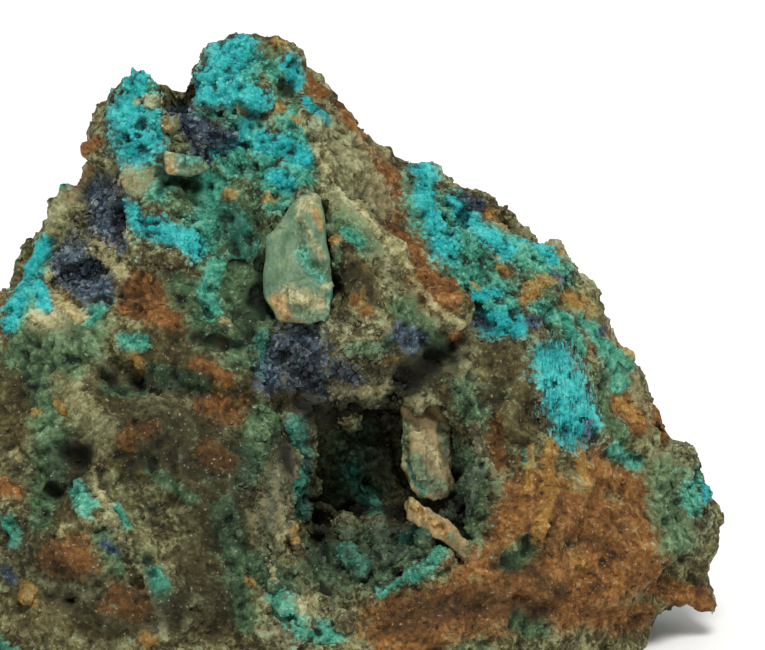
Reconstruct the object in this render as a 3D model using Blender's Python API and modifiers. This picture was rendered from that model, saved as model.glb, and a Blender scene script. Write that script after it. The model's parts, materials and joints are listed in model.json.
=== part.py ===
"""Lavendulan with azurite: a broken lump of rusty copper ore that stands on its own foot.

The show face is the side that is looked at. Places are given on it in millimetres, as
(right, up, back): right and up across the face, and back, away from the viewer. The face
leans back by FACE_LEAN. The model itself is in metres, with its base at z = 0.
"""

import math
import random

import bmesh
import bpy
from mathutils import Matrix, Vector, noise
from mathutils.bvhtree import BVHTree

MM = 0.001
FACE_LEAN = math.radians(15)
RIGHT = Vector((1, 0, 0))
UP = Vector((0, math.sin(FACE_LEAN), math.cos(FACE_LEAN)))
BACK = Vector((0, math.cos(FACE_LEAN), -math.sin(FACE_LEAN)))
# Sets the middle of the lump over the origin.
CENTRE_SHIFT = Vector((0.003045, -0.006007, 0))

# Lengths below are in millimetres.
GAP = 0.3
ROUND_GAP = 0.42
VOXEL = 0.5
CRUST_VOXEL = 0.3
WELD = 0.002
CUT_MARGIN = 1.2
IN_FRONT = -30
INSIDE = 4
GROUND_WIDTH = 100
GROUND_DEPTH = 8
ROCK_TRIANGLES = 3900
CRUST_TRIANGLES = 330
AZURITE_BED_TRIANGLES = 165
VUG_CRUST_TRIANGLES = 1100
VUG_CRUST_WALL = 0.9
LINE_STEP = 0.3
LINE_REACH = 0.5
BED_REACH = 1.0
BED_UNEVENNESS = 0.55
BED_WAVES = 1.6
GLOBULE_SIZE = 1.25
GLOBULE_HEIGHT = 0.7
# A cluster's crystals: how many, how far out on the bed, how far they lean, and their sizes.
CRYSTALS_IN_A_CLUSTER = 12
CRYSTAL_SPREAD = 0.8
CRYSTAL_LEAN = 0.6
CRYSTAL_WIDTHS = (0.6, 0.9)
CRYSTAL_THICKNESSES = (0.45, 0.7)
CRYSTAL_LENGTH = 1.5
CRYSTAL_RADII = (0.75, 0.45)
CRYSTAL_RISE = 0.05
# Layers of roughness, as (size, height).
ROCK_ROUGHNESS = ((5.0, 0.6), (2.4, 0.9), (1.3, 0.5))
HOLLOW_ROUGHNESS = ((3.0, 0.9), (1.4, 0.6))
DRUSE_ROUGHNESS = ((1.6, 0.35), (0.8, 0.3))
ROUGHNESS_START = Vector((21.7, 11.9, 16.1))

# The blocks that the ore broke into, each by its corners.
BLOCKS = {
    "summit": [
        (-7.7, 32.8, 5.5), (-6.4, 33.1, 5.0), (-4.8, 33.0, 5.0), (-9.1, 31.4, 5.5), (-9.5, 29.0, 5.0),
        (-4.0, 29.0, 2.8), (-2.5, 25.1, 1.0), (0.2, 22.0, 0.2), (3.8, 17.9, -0.4),
        (-4.0, 30.6, 5.6), (-3.0, 28.7, 6.0), (-0.6, 26.6, 6.5), (1.0, 26.0, 6.5), (2.5, 22.0, 5.0),
        (4.2, 18.8, 3.0),
        (-11.0, 24.0, 1.0), (-11.5, 21.3, -0.3), (-5.5, 17.5, -1.2), (1.0, 17.5, -1.0),
        (-8.0, 28.0, 12.0), (-2.5, 26.5, 12.0), (1.0, 21.5, 14.0), (-11.5, 19.0, 14.0),
        (0.0, 8.0, 12.0), (-10.0, 8.0, 12.0),
    ],
    "nose": [
        (-5.3, 23.7, -0.2), (-3.1, 24.1, 0.0), (0.8, 20.9, -0.5), (3.8, 17.8, -0.8), (3.4, 16.8, -0.8),
        (0.8, 14.4, -1.6), (-2.5, 14.1, -2.2), (-5.3, 14.4, -1.8), (-5.8, 19.0, -1.6), (-1.5, 17.5, -2.4),
        (-5.0, 22.0, 4.0), (3.0, 18.0, 4.0), (-4.0, 14.5, 4.0), (2.0, 15.0, 4.0),
    ],
    "left_peak": [
        (-12.2, 31.7, 5.5), (-13.3, 30.6, 5.2), (-14.4, 29.0, 5.5), (-14.6, 26.6, 5.0),
        (-10.8, 28.6, 4.8), (-11.3, 29.8, 5.0), (-10.2, 28.2, 4.2),
        (-13.5, 25.8, 2.6), (-11.2, 25.8, 2.0), (-11.4, 24.4, 1.2), (-13.4, 24.4, 2.2),
        (-13.0, 29.0, 9.0), (-11.0, 28.5, 10.0), (-15.0, 22.0, 11.0), (-10.0, 22.0, 12.0),
    ],
    "left_cheek": [
        (-14.2, 24.6, 3.2), (-11.2, 24.8, 1.6), (-10.8, 22.0, 0.4), (-11.5, 20.0, 0.2), (-15.5, 19.5, 1.4),
        (-16.0, 22.0, 4.0), (-9.0, 24.0, 8.0), (-16.0, 20.0, 9.0), (-9.0, 18.0, 8.0),
    ],
    "left_flank": [
        (-15.0, 26.0, 6.5), (-15.5, 25.3, 6.5), (-16.3, 24.1, 6.2), (-16.7, 22.7, 6.0), (-17.4, 21.1, 5.5),
        (-18.5, 19.1, 5.0), (-20.6, 16.2, 4.5), (-22.8, 13.0, 4.5), (-23.5, 8.0, 5.0), (-23.0, 3.0, 5.0),
        (-14.0, 24.5, 3.4), (-14.5, 20.5, 1.8), (-16.0, 18.5, 0.5), (-18.5, 16.8, 1.0), (-21.5, 13.0, 0.0),
        (-15.0, 24.0, 11.0), (-20.0, 18.0, 12.0), (-21.0, 8.0, 12.0), (-10.0, 10.0, 14.0),
    ],
    "left_front": [
        (-13.4, 20.4, -0.3), (-9.5, 21.2, -0.8), (-5.1, 15.4, -2.4), (-4.4, 12.0, -2.6), (-5.9, 6.0, -4.0),
        (-4.0, 2.0, -4.8), (-8.2, 1.0, -6.5), (-16.0, 1.2, -8.0), (-21.5, 2.0, -5.5), (-22.8, 8.0, -1.5),
        (-7.0, -2.6, -4.6), (-16.0, -2.8, -5.6), (-20.0, -2.0, -3.0),
        (-21.0, 14.0, 0.0), (-19.0, 16.8, 0.3), (-16.0, 18.2, -0.3), (-11.5, 13.0, -4.5), (-16.0, 10.0, -6.0),
        (-20.0, 10.0, 10.0), (-8.0, 12.0, 8.0), (-8.0, 0.0, 8.0), (-20.0, 1.0, 9.0),
    ],
    "rusty_slab": [
        (-1.8, 3.5, -3.2), (4.0, 6.6, -2.2), (6.0, 10.1, -1.6), (8.2, 11.7, -0.8), (11.0, 12.0, 0.8),
        (13.8, 11.5, 3.5), (14.0, 6.0, 2.5), (16.0, 4.0, 4.5), (13.0, 4.0, 1.8), (8.8, 4.4, -1.0),
        (8.5, 2.0, -0.5), (5.0, -0.5, -2.6), (-2.0, -1.0, -4.6),
        (14.0, 10.0, 12.0), (12.0, 2.0, 11.0), (0.0, 12.0, 12.0), (-2.0, 1.0, 11.0),
    ],
    "front_sill": [
        (-5.5, 5.0, -3.4), (-1.0, 4.0, -2.8), (4.5, 6.5, -1.2), (-4.5, -1.0, -5.2), (3.0, -1.0, -3.2),
        (-5.5, 6.0, 5.0), (4.5, 7.0, 5.0), (-4.5, 0.0, 6.0), (4.0, 0.0, 6.0),
    ],
    "knob": [
        (3.5, 16.4, -0.6), (6.0, 17.1, 0.2), (7.6, 16.6, 0.8), (8.4, 15.1, 0.8), (8.2, 12.5, -0.2),
        (7.1, 11.2, -1.0), (5.9, 10.9, -1.6), (5.2, 13.0, -1.4), (3.8, 15.2, -1.0),
        (4.0, 16.5, 6.0), (9.0, 16.0, 6.0), (9.0, 11.0, 5.0), (5.0, 11.0, 5.0),
    ],
    "shoulder": [
        (0.9, 26.2, 8.0), (2.6, 25.7, 8.0), (5.0, 24.2, 8.5), (7.0, 22.6, 8.5), (9.0, 22.0, 8.5),
        (10.1, 20.7, 8.0), (11.2, 19.4, 7.8), (11.4, 18.1, 7.2), (4.2, 18.0, 3.2), (7.5, 16.8, 2.2),
        (10.5, 16.8, 4.0), (2.0, 25.0, 13.0), (8.0, 21.0, 14.0), (11.0, 17.0, 13.0),
        (4.0, 10.0, 14.0), (11.0, 10.0, 12.0),
    ],
    "right_middle": [
        (11.2, 17.6, 6.8), (12.1, 17.4, 7.0), (12.8, 16.4, 7.0), (13.0, 15.0, 7.0), (13.5, 13.2, 6.8),
        (14.4, 12.0, 6.5), (10.5, 16.8, 3.5), (8.4, 15.8, 1.2), (10.6, 12.0, 0.6), (8.5, 12.0, -0.4),
        (13.5, 11.2, 3.4), (12.0, 17.0, 12.0), (14.0, 12.0, 12.0), (9.0, 10.0, 10.0),
    ],
    "right_lobe": [
        (14.4, 11.8, 6.5), (15.6, 11.8, 6.8), (16.4, 11.2, 6.6), (16.3, 9.9, 6.4), (17.1, 8.4, 6.4),
        (16.8, 7.4, 6.2), (16.8, 6.0, 6.0), (17.1, 4.5, 5.8), (17.2, 3.2, 5.8), (16.8, 2.7, 5.6),
        (13.8, 11.1, 4.2), (13.5, 6.0, 2.6), (14.1, 4.0, 3.2), (15.5, 11.0, 11.0), (16.5, 8.0, 11.0),
        (15.0, 4.0, 10.0),
    ],
    "core": [
        (-14.0, 22.0, 7.0), (-3.0, 24.0, 7.0), (4.0, 18.0, 5.0), (10.0, 14.0, 6.0), (12.0, 6.0, 6.0),
        (10.0, 1.0, 6.0), (-3.0, 1.0, 5.0), (-18.0, 1.0, 4.0), (-18.0, 14.0, 4.0), (-8.0, 14.0, 4.5),
        (-12.0, 18.0, 14.0), (6.0, 18.0, 15.0), (8.0, 4.0, 15.0), (-14.0, 4.0, 15.0),
    ],
    "filling": [
        (-7.0, 13.0, -2.2), (-6.5, 5.0, -2.6), (-1.5, 3.0, -2.4), (5.0, 6.5, -1.2), (6.2, 10.5, -0.8),
        (4.5, 15.0, -0.4), (0.0, 15.5, -0.8), (-5.0, 15.5, -1.2), (-7.0, 13.0, 10.0), (-6.0, 4.0, 10.0),
        (5.0, 6.0, 10.0), (4.5, 15.0, 10.0), (-5.0, 15.5, 10.0),
    ],
    "foot": [
        (12.8, 1.8, 4.8), (11.0, -0.5, 3.5), (8.5, 2.0, 0.5), (8.0, -0.5, 0.0), (14.0, 2.8, 5.2),
        (12.0, 0.0, 11.0), (-8.0, -1.0, 12.0), (-8.0, 3.0, 4.0), (-8.0, 8.0, 12.0), (11.0, 6.0, 10.0),
    ],
}

# The deep hollow under the nose, by its corners.
VUG = [
    (-5.2, 13.4, -6.0), (-5.7, 10.5, -6.0), (-5.9, 7.6, -6.0), (-4.0, 4.2, -6.0), (-1.8, 3.8, -6.0),
    (1.0, 5.4, -6.0), (3.8, 6.9, -6.0), (5.2, 8.8, -6.0), (5.5, 11.0, -6.0), (4.4, 14.0, -6.0),
    (0.8, 14.3, -6.0), (-3.6, 12.8, 6.0), (-3.8, 7.6, 6.0), (-1.4, 6.4, 6.0), (2.0, 8.4, 6.0),
    (3.4, 12.0, 5.6), (2.2, 14.2, 5.6),
]
# Nodules and short pillars that grew on the wall of the hollow: (right, up, back, radius).
VUG_LUMPS = [
    (-4.6, 12.6, -0.5, 0.95), (-4.5, 11.2, -0.8, 0.95), (-4.4, 9.7, -1.0, 1.0), (-5.6, 10.2, -2.8, 1.2),
    (-5.6, 8.6, -3.0, 1.3), (-5.3, 7.0, -3.2, 1.2), (-4.4, 5.6, -3.0, 1.1), (-2.7, 6.3, -1.0, 1.4),
    (-1.0, 6.3, 0.4, 1.4), (0.6, 7.0, 0.8, 1.2), (2.0, 7.3, 0.6, 1.0), (-3.2, 7.6, 1.8, 1.2),
    (-0.4, 5.3, -2.0, 1.0), (1.8, 6.2, -2.0, 0.9), (-2.4, 4.8, -2.6, 1.0), (3.6, 7.9, -1.6, 0.8),
    (4.8, 9.4, -0.8, 0.9), (4.6, 11.2, -0.4, 1.0), (4.0, 12.8, 0.6, 1.0), (1.6, 8.4, 4.4, 1.2),
]
# The dark slot between the nose and the knob.
SLOT = [
    (1.0, 14.4, -4.0), (3.2, 16.5, -4.0), (4.0, 17.2, -4.0), (4.4, 16.6, -4.0), (3.8, 15.4, -4.0),
    (3.0, 14.2, -4.0), (2.0, 15.0, 3.0), (3.8, 16.6, 3.0), (3.4, 15.2, 3.0),
]
# The notch that parts the left peak from the summit.
NOTCH = [
    (-11.0, 31.6, 1.0), (-9.5, 31.6, 1.0), (-10.2, 28.2, 1.0), (-11.0, 32.0, 14.0), (-9.5, 32.0, 14.0),
    (-10.2, 28.8, 14.0),
]
# The shaded undercut beneath the rusty slab.
UNDERCUT = [
    (8.6, 4.2, -3.0), (13.4, 4.4, -1.0), (13.0, 2.4, 3.4), (9.0, 1.6, 1.6), (8.6, 2.0, -3.0),
    (12.6, 1.4, -1.0), (12.2, 3.4, 3.2),
]

# Swellings and pits of the surface, as (right, up, radius, height); a pit's height is negative.
SWELLINGS = [
    (-9.0, 24.6, 1.6, -0.9), (-6.6, 26.2, 1.8, -0.5), (-12.4, 25.2, 1.4, 0.5), (-10.4, 27.0, 1.3, -0.8),
    (-14.6, 23.0, 1.7, -1.1), (-15.0, 20.6, 1.9, -0.9), (-11.6, 26.6, 1.0, 0.4), (-9.9, 17.4, 2.2, 0.6),
    (-12.6, 15.8, 1.3, -1.2), (-10.6, 14.6, 1.1, -0.8), (-8.4, 9.4, 3.6, 0.9), (-15.4, 11.4, 1.3, -1.0),
    (-16.6, 9.6, 1.2, -0.9), (-18.6, 9.8, 1.6, 0.7), (-13.6, 8.6, 1.5, 0.6), (-11.2, 5.0, 1.6, 0.5),
    (-14.6, 5.2, 2.2, 0.8), (-17.8, 4.6, 1.3, -0.7), (-9.0, 2.6, 1.6, -0.6), (-5.6, 7.8, 1.5, 0.7),
    (-5.0, 3.4, 1.4, 0.6), (-2.6, 1.2, 1.6, 0.5), (2.6, 3.0, 2.6, 0.5), (8.0, 7.6, 2.8, 0.5),
    (11.6, 8.8, 2.0, -0.5), (12.6, 5.6, 1.8, 0.5), (9.4, 10.6, 1.0, -0.4), (6.4, 13.8, 1.6, 0.5),
    (9.2, 14.2, 1.8, -0.6), (11.6, 15.0, 1.6, 0.5), (5.8, 20.6, 1.6, 0.5), (3.6, 22.6, 1.3, -0.5),
    (7.8, 18.8, 1.4, -0.6), (9.4, 20.2, 1.5, 0.6), (6.6, 23.2, 1.2, 0.5), (-2.0, 19.2, 1.5, 0.5),
    (-1.7, 28.4, 2.2, -0.9), (1.0, 23.8, 1.8, -0.5), (15.6, 8.2, 1.6, 0.6), (15.2, 5.0, 1.1, -0.6),
    (-18.4, 20.0, 1.4, -0.6), (-17.6, 17.4, 1.2, 0.5), (-7.0, 29.4, 1.2, 0.5), (-3.4, 30.6, 1.2, -0.5),
]

# Ridges and grooves along the face: ([(right, up), ...], half width, height).
LINES = [
    ([(-4.0, 29.0), (-3.5, 26.5), (-2.5, 25.0), (-1.5, 24.0), (0.3, 22.0), (2.0, 19.8), (3.5, 18.1)],
     1.0, 0.7),
    ([(1.0, 26.0), (1.6, 24.0), (2.5, 22.0), (3.5, 20.8), (4.1, 19.0)], 0.9, 0.8),
    ([(2.2, 25.0), (3.0, 22.8), (4.4, 20.8), (5.0, 18.8)], 0.8, -0.9),
    ([(-1.5, 19.2), (-0.2, 18.6), (0.8, 17.6), (0.5, 16.2)], 0.7, 0.5),
    ([(-14.0, 16.4), (-11.5, 14.5), (-9.0, 14.0), (-6.5, 13.2)], 1.1, -0.8),
    ([(-14.5, 9.5), (-12.5, 7.5), (-11.0, 5.5), (-10.0, 3.0)], 1.0, 0.8),
    ([(-19.5, 17.2), (-17.0, 16.4), (-14.6, 16.6), (-12.6, 18.0)], 0.9, 0.5),
    ([(4.5, 8.2), (2.5, 6.0), (0.5, 4.8), (-1.8, 3.4)], 0.8, 0.6),
    ([(-5.6, 14.2), (-6.2, 11.5), (-6.8, 9.0), (-6.4, 6.5), (-5.0, 4.0)], 0.8, 0.6),
    ([(8.6, 16.6), (8.5, 14.0), (8.0, 11.5)], 0.7, -0.6),
    ([(5.6, 10.5), (7.0, 10.9), (9.0, 12.0), (11.0, 12.4)], 0.8, -0.6),
    ([(7.4, 12.0), (8.2, 9.0), (8.5, 6.0), (8.7, 4.6)], 0.9, 0.6),
    ([(6.0, 23.2), (7.0, 21.0), (9.0, 19.5)], 0.9, -0.7),
    ([(4.6, 21.0), (6.8, 18.4), (10.5, 17.5)], 0.8, -0.5),
    ([(11.0, 17.4), (11.6, 15.0), (13.0, 12.8)], 0.8, -0.6),
    ([(12.2, 11.6), (14.0, 9.0), (15.4, 6.0)], 0.9, -0.7),
    ([(-9.4, 28.8), (-10.0, 26.6), (-10.2, 24.4)], 0.7, -0.7),
    ([(-19.5, 8.0), (-17.0, 6.6), (-15.2, 3.0)], 0.9, -0.7),
]

# Crusts and clusters let into the rock: (right, up), (half width, half height), turn, depth.
LAVENDULAN = {
    "lavendulan_left_peak": ((-12.4, 28.0), (1.7, 2.5), 15, 1.3),
    "lavendulan_summit": ((-7.9, 30.3), (2.3, 2.7), 20, 1.4),
    "lavendulan_middle": ((-10.7, 22.5), (2.4, 2.0), 20, 1.0),
    "lavendulan_upper_face": ((-5.3, 25.8), (1.7, 2.2), 10, 0.9),
    "lavendulan_right_slope": ((6.0, 21.6), (5.4, 4.2), -38, 1.6),
    "lavendulan_right_face": ((9.2, 14.3), (1.5, 2.6), 12, 1.0),
    "lavendulan_left_flank": ((-18.0, 19.2), (1.4, 2.8), -38, 1.1),
    "lavendulan_right_lobe": ((16.0, 9.3), (1.1, 2.4), 15, 1.0),
}
AZURITE = {
    "azurite_left_hollow": ((-14.6, 21.8), (1.8, 3.6), -25, 1.5),
    "azurite_notch": ((-9.0, 27.6), (1.9, 1.3), -10, 1.3),
    "azurite_overhang": ((-2.6, 16.2), (3.6, 1.9), 3, 1.7),
}

# Broken pale crystals that stand in the rock, by their corners.
BLADES = {
    "pale_blade": [
        (-3.1, 24.2, -1.6), (-4.3, 23.7, -1.7), (-5.1, 22.7, -1.9), (-5.6, 21.0, -2.3), (-5.6, 19.0, -2.7),
        (-5.0, 18.1, -2.9), (-4.0, 17.8, -3.0), (-2.7, 18.0, -2.9), (-2.4, 19.5, -2.4), (-3.3, 22.0, -1.9),
        (-3.2, 23.6, 0.6), (-5.2, 20.4, 0.4), (-4.6, 18.4, 0.2), (-2.8, 18.8, 0.2),
    ],
    "pale_chip": [
        (-10.7, 26.4, 0.0), (-8.9, 26.0, -0.4), (-8.6, 25.6, -0.4), (-9.4, 25.3, -0.3), (-10.6, 25.4, -0.1),
        (-10.6, 26.2, 2.4), (-9.0, 25.8, 2.2), (-9.6, 25.3, 2.2),
    ],
}
# Steps that stand on a blade and grooves that are cut in it, by their corners.
BLADE_STEPS = {
    "pale_blade": [
        [(-4.0, 24.0, -2.0), (-3.2, 24.2, -1.9), (-3.1, 23.2, -2.0), (-4.2, 23.2, -2.1), (-3.6, 23.8, -1.0)],
        [(-4.6, 19.8, -3.2), (-2.8, 20.3, -2.9), (-2.5, 19.3, -2.9), (-4.6, 18.7, -3.4), (-3.4, 19.4, -1.8)],
        [(-5.7, 22.2, -2.4), (-5.0, 22.8, -2.3), (-4.9, 20.4, -2.8), (-5.7, 20.2, -2.7), (-5.2, 21.4, -1.4)],
    ],
    "vug_blade": [
        [(1.2, 12.2, -0.3), (2.2, 12.6, -0.3), (2.4, 10.0, -1.0), (1.8, 10.0, -1.0), (1.9, 11.4, 0.6)],
    ],
}
BLADE_GROOVES = {
    "pale_blade": [
        [(-4.1, 23.0, -3.0), (-3.5, 23.0, -3.0), (-3.3, 20.6, -3.4), (-4.0, 20.5, -3.4), (-3.8, 22.6, -1.3),
         (-3.6, 20.8, -1.6)],
    ],
}
VUG_BLADES = {
    "vug_blade": [
        (1.6, 15.0, 1.4), (3.2, 15.0, 1.8), (1.1, 12.8, 0.2), (3.4, 12.4, 0.6), (3.6, 9.4, -0.2),
        (2.8, 8.9, -0.6), (1.6, 9.6, -0.5), (1.1, 11.2, -0.1), (1.8, 15.0, 2.8), (3.0, 15.0, 2.8),
        (3.4, 9.8, 1.2), (2.2, 9.8, 1.0),
    ],
    "cream_splinter": [
        (1.3, 8.8, -1.6), (1.5, 9.1, -2.0), (3.4, 7.9, -2.4), (4.6, 6.6, -2.2), (4.2, 6.3, -2.4),
        (1.5, 8.2, -2.0), (1.7, 8.6, -1.1), (4.4, 6.5, -1.5),
    ],
}

FINISHES = {
    "rock": ((0.20, 0.10, 0.045), 0.9),
    "lavendulan": ((0.0, 0.42, 0.45), 0.6),
    "azurite": ((0.03, 0.035, 0.14), 0.35),
    "malachite": ((0.06, 0.24, 0.16), 0.6),
    "pale_crystal": ((0.45, 0.50, 0.30), 0.4),
    "cream_crystal": ((0.62, 0.46, 0.22), 0.5),
}


def at(right, up, back):
    # A place on the show face, in millimetres, as a place in the model, in metres.
    return (RIGHT * right + UP * up + BACK * back) * MM + CENTRE_SHIFT


def clear_scene():
    for obj in list(bpy.data.objects):
        bpy.data.objects.remove(obj)


def finish_of(name):
    # The material of one mineral, made the first time that it is asked for.
    made = bpy.data.materials.get(name)
    if made:
        return made
    colour, roughness = FINISHES[name]
    made = bpy.data.materials.new(name)
    made.use_nodes = True
    shader = made.node_tree.nodes["Principled BSDF"]
    shader.inputs["Base Color"].default_value = (*colour, 1)
    shader.inputs["Roughness"].default_value = roughness
    shader.inputs["Metallic"].default_value = 0
    return made


def set_finish(obj, name):
    # One material all over, whatever slots the cutters left.
    obj.data.materials.clear()
    obj.data.materials.append(finish_of(name))
    for face in obj.data.polygons:
        face.material_index = 0


def object_from(bm, name, collection):
    mesh = bpy.data.meshes.new(name)
    bm.to_mesh(mesh)
    bm.free()
    obj = bpy.data.objects.new(name, mesh)
    collection.objects.link(obj)
    return obj


def add_hull(bm, points):
    verts = [bm.verts.new(point) for point in points]
    made = bmesh.ops.convex_hull(bm, input=verts)
    inside = {v for v in made["geom_interior"] + made["geom_unused"] if isinstance(v, bmesh.types.BMVert)}
    bmesh.ops.delete(bm, geom=list(inside), context="VERTS")


def grown(corners, by):
    # The corners of the same shape with a skin of this many millimetres all round.
    signs = (-by, by)
    return [(r + i, u + j, b + k) for r, u, b in corners for i in signs for j in signs for k in signs]


def hull_object(name, corners, collection):
    bm = bmesh.new()
    add_hull(bm, [at(*corner) for corner in corners])
    return object_from(bm, name, collection)


def apply_modifiers(obj):
    graph = bpy.context.evaluated_depsgraph_get()
    old = obj.data
    obj.data = bpy.data.meshes.new_from_object(obj.evaluated_get(graph))
    obj.modifiers.clear()
    bpy.data.meshes.remove(old)


def voxel_remesh(obj, size):
    remesh = obj.modifiers.new("remesh", "REMESH")
    remesh.mode = "VOXEL"
    remesh.voxel_size = size * MM
    apply_modifiers(obj)


def boolean(obj, other, operation):
    # The exact solver, and the manifold one only where that leaves nothing.
    modifier = obj.modifiers.new(operation.lower(), "BOOLEAN")
    modifier.operation = operation
    modifier.object = other
    graph = bpy.context.evaluated_depsgraph_get()
    if not obj.evaluated_get(graph).data.polygons:
        modifier.solver = "MANIFOLD"
    apply_modifiers(obj)


def decimate(obj, triangles):
    # Fewer faces, down to about this many triangles.
    obj.data.calc_loop_triangles()
    now = len(obj.data.loop_triangles)
    if now <= triangles:
        return
    modifier = obj.modifiers.new("decimate", "DECIMATE")
    modifier.use_collapse_triangulate = True
    modifier.ratio = triangles / now
    apply_modifiers(obj)


def keep_largest(obj):
    # Drops crumbs that a cut has parted from the piece.
    bm = bmesh.new()
    bm.from_mesh(obj.data)
    bmesh.ops.remove_doubles(bm, verts=bm.verts, dist=WELD * MM)
    left = set(bm.verts)
    islands = []
    while left:
        island = {left.pop()}
        front = list(island)
        while front:
            vert = front.pop()
            for edge in vert.link_edges:
                other = edge.other_vert(vert)
                if other in left:
                    left.discard(other)
                    island.add(other)
                    front.append(other)
        islands.append(island)
    largest = max(islands, key=len)
    crumbs = [vert for vert in bm.verts if vert not in largest]
    bmesh.ops.delete(bm, geom=crumbs, context="VERTS")
    bm.to_mesh(obj.data)
    bm.free()


def roughen(obj, layers):
    # Pushes the surface in and out by layers of noise.
    mesh = obj.data
    moves = []
    for vert in mesh.vertices:
        height = 0
        for size, amount in layers:
            height += amount * noise.noise(vert.co / (size * MM) + ROUGHNESS_START)
        moves.append(vert.normal * height * MM)
    for vert, move in zip(mesh.vertices, moves):
        vert.co += move


def tree_of(obj):
    bm = bmesh.new()
    bm.from_mesh(obj.data)
    tree = BVHTree.FromBMesh(bm)
    bm.free()
    return tree


def seat(tree, right, up):
    # Where the viewer's line of sight at this place of the show face meets the surface.
    point, normal, _, _ = tree.ray_cast(at(right, up, IN_FRONT), BACK)
    return point, normal


def smooth_seat(tree, right, up, reach):
    # The seat with the mean normal of the surface around it.
    point, total = seat(tree, right, up)
    if point is None:
        point, total, _, _ = tree.find_nearest(at(right, up, INSIDE))
    for step in range(8):
        turn = step * math.pi / 4
        near, normal = seat(tree, right + reach * math.cos(turn), up + reach * math.sin(turn))
        if near is not None and (near - point).length < 3 * reach * MM:
            total = total + normal
    return point, total.normalized()


def swell(obj, tree):
    seats = [(*smooth_seat(tree, r, u, size * 0.5), size, height) for r, u, size, height in SWELLINGS]
    for vert in obj.data.vertices:
        for point, normal, size, height in seats:
            near = (vert.co - point).length / (size * MM)
            if near < 1:
                vert.co += normal * (height * MM * (1 - near * near) ** 2)


def line_seats(tree, points):
    # Seats a short step apart, along a line on the show face.
    seats = []
    for start, end in zip(points, points[1:]):
        count = max(1, round(math.dist(start, end) / LINE_STEP))
        for number in range(count):
            part_way = number / count
            place = [a + (b - a) * part_way for a, b in zip(start, end)]
            seats.append(smooth_seat(tree, *place, LINE_REACH))
    return seats


def draw_lines(obj, tree):
    # Each ridge or groove moves a point by its nearest seat alone, so that the line is even.
    for points, width, height in LINES:
        seats = line_seats(tree, points)
        for vert in obj.data.vertices:
            distance, normal = min(((vert.co - point).length, normal) for point, normal in seats)
            near = distance / (width * MM)
            if near < 1:
                vert.co += normal * (height * MM * (1 - near * near) ** 2)


def make_body(collection):
    # The whole ore lump, before its minerals are parted from it.
    bm = bmesh.new()
    for corners in BLOCKS.values():
        add_hull(bm, [at(*corner) for corner in corners])
    body = object_from(bm, "body", collection)
    voxel_remesh(body, VOXEL)
    for name, corners in (("slot_cut", SLOT), ("notch_cut", NOTCH), ("undercut", UNDERCUT)):
        boolean(body, hull_object(name, corners, collection), "DIFFERENCE")
    voxel_remesh(body, VOXEL)
    swell(body, tree_of(body))
    draw_lines(body, tree_of(body))
    roughen(body, ROCK_ROUGHNESS)
    voxel_remesh(body, VOXEL)
    return body


def seat_frame(tree, place, turn):
    # Along, across and out of the surface at a place of the show face, as a matrix.
    point, out = smooth_seat(tree, *place, BED_REACH)
    angle = math.radians(turn)
    along = RIGHT * math.cos(angle) + UP * math.sin(angle)
    along = (along - out * along.dot(out)).normalized()
    across = out.cross(along)
    frame = Matrix((along, across, out)).transposed().to_4x4()
    frame.translation = point
    return frame


def ellipsoid(name, frame, halves, depth, skin, collection):
    # The uneven rounded bed that a crust fills, with a skin of this many millimetres.
    bm = bmesh.new()
    bmesh.ops.create_icosphere(bm, subdivisions=2, radius=1)
    for vert in bm.verts:
        reach = 1 + BED_UNEVENNESS * noise.noise(vert.co * BED_WAVES + frame.translation / MM)
        sizes = [size * reach + skin for size in (*halves, depth)]
        vert.co = frame @ Vector([way * size * MM for way, size in zip(vert.co, sizes)])
    return object_from(bm, name, collection)


def copy_of(obj, name, collection):
    twin = bpy.data.objects.new(name, obj.data.copy())
    collection.objects.link(twin)
    return twin


def add_globules(obj, size, height):
    # Round swellings side by side, as a globular crust has.
    mesh = obj.data
    moves = []
    for vert in mesh.vertices:
        distances, _ = noise.voronoi(vert.co / (size * MM))
        moves.append(vert.normal * (height * MM * math.sqrt(max(0, 1 - distances[0] ** 2))))
    for vert, move in zip(mesh.vertices, moves):
        vert.co += move


def add_crystals(obj, tree, bed, collection, rng):
    # Stubby flat-faced prisms that stand on the bed, joined to it.
    place, halves, turn, _ = bed
    angle = math.radians(turn)
    for number in range(CRYSTALS_IN_A_CLUSTER):
        round_bed = rng.uniform(0, 2 * math.pi)
        out_to = CRYSTAL_SPREAD * math.sqrt(rng.random())
        along = halves[0] * out_to * math.cos(round_bed)
        across = halves[1] * out_to * math.sin(round_bed)
        right = place[0] + along * math.cos(angle) - across * math.sin(angle)
        up = place[1] + along * math.sin(angle) + across * math.cos(angle)
        point, normal = smooth_seat(tree, right, up, LINE_REACH)
        lean = Vector([rng.uniform(-CRYSTAL_LEAN, CRYSTAL_LEAN) for _ in range(3)])
        stand = (normal + lean).normalized().to_track_quat("Z", "Y").to_matrix().to_4x4()
        width = rng.uniform(*CRYSTAL_WIDTHS)
        thickness = rng.uniform(*CRYSTAL_THICKNESSES)
        size = Matrix.Diagonal((width * MM, thickness * MM, CRYSTAL_LENGTH * MM, 1))
        bm = bmesh.new()
        spin = Matrix.Rotation(rng.uniform(0, math.pi), 4, "Z")
        seated = Matrix.Translation(point + normal * CRYSTAL_RISE * MM) @ stand @ spin @ size
        base, top = CRYSTAL_RADII
        bmesh.ops.create_cone(
            bm, cap_ends=True, segments=4, radius1=base, radius2=top, depth=1, matrix=seated)
        crystal = object_from(bm, f"{obj.name}_crystal_{number}", collection)
        boolean(obj, crystal, "UNION")


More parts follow.
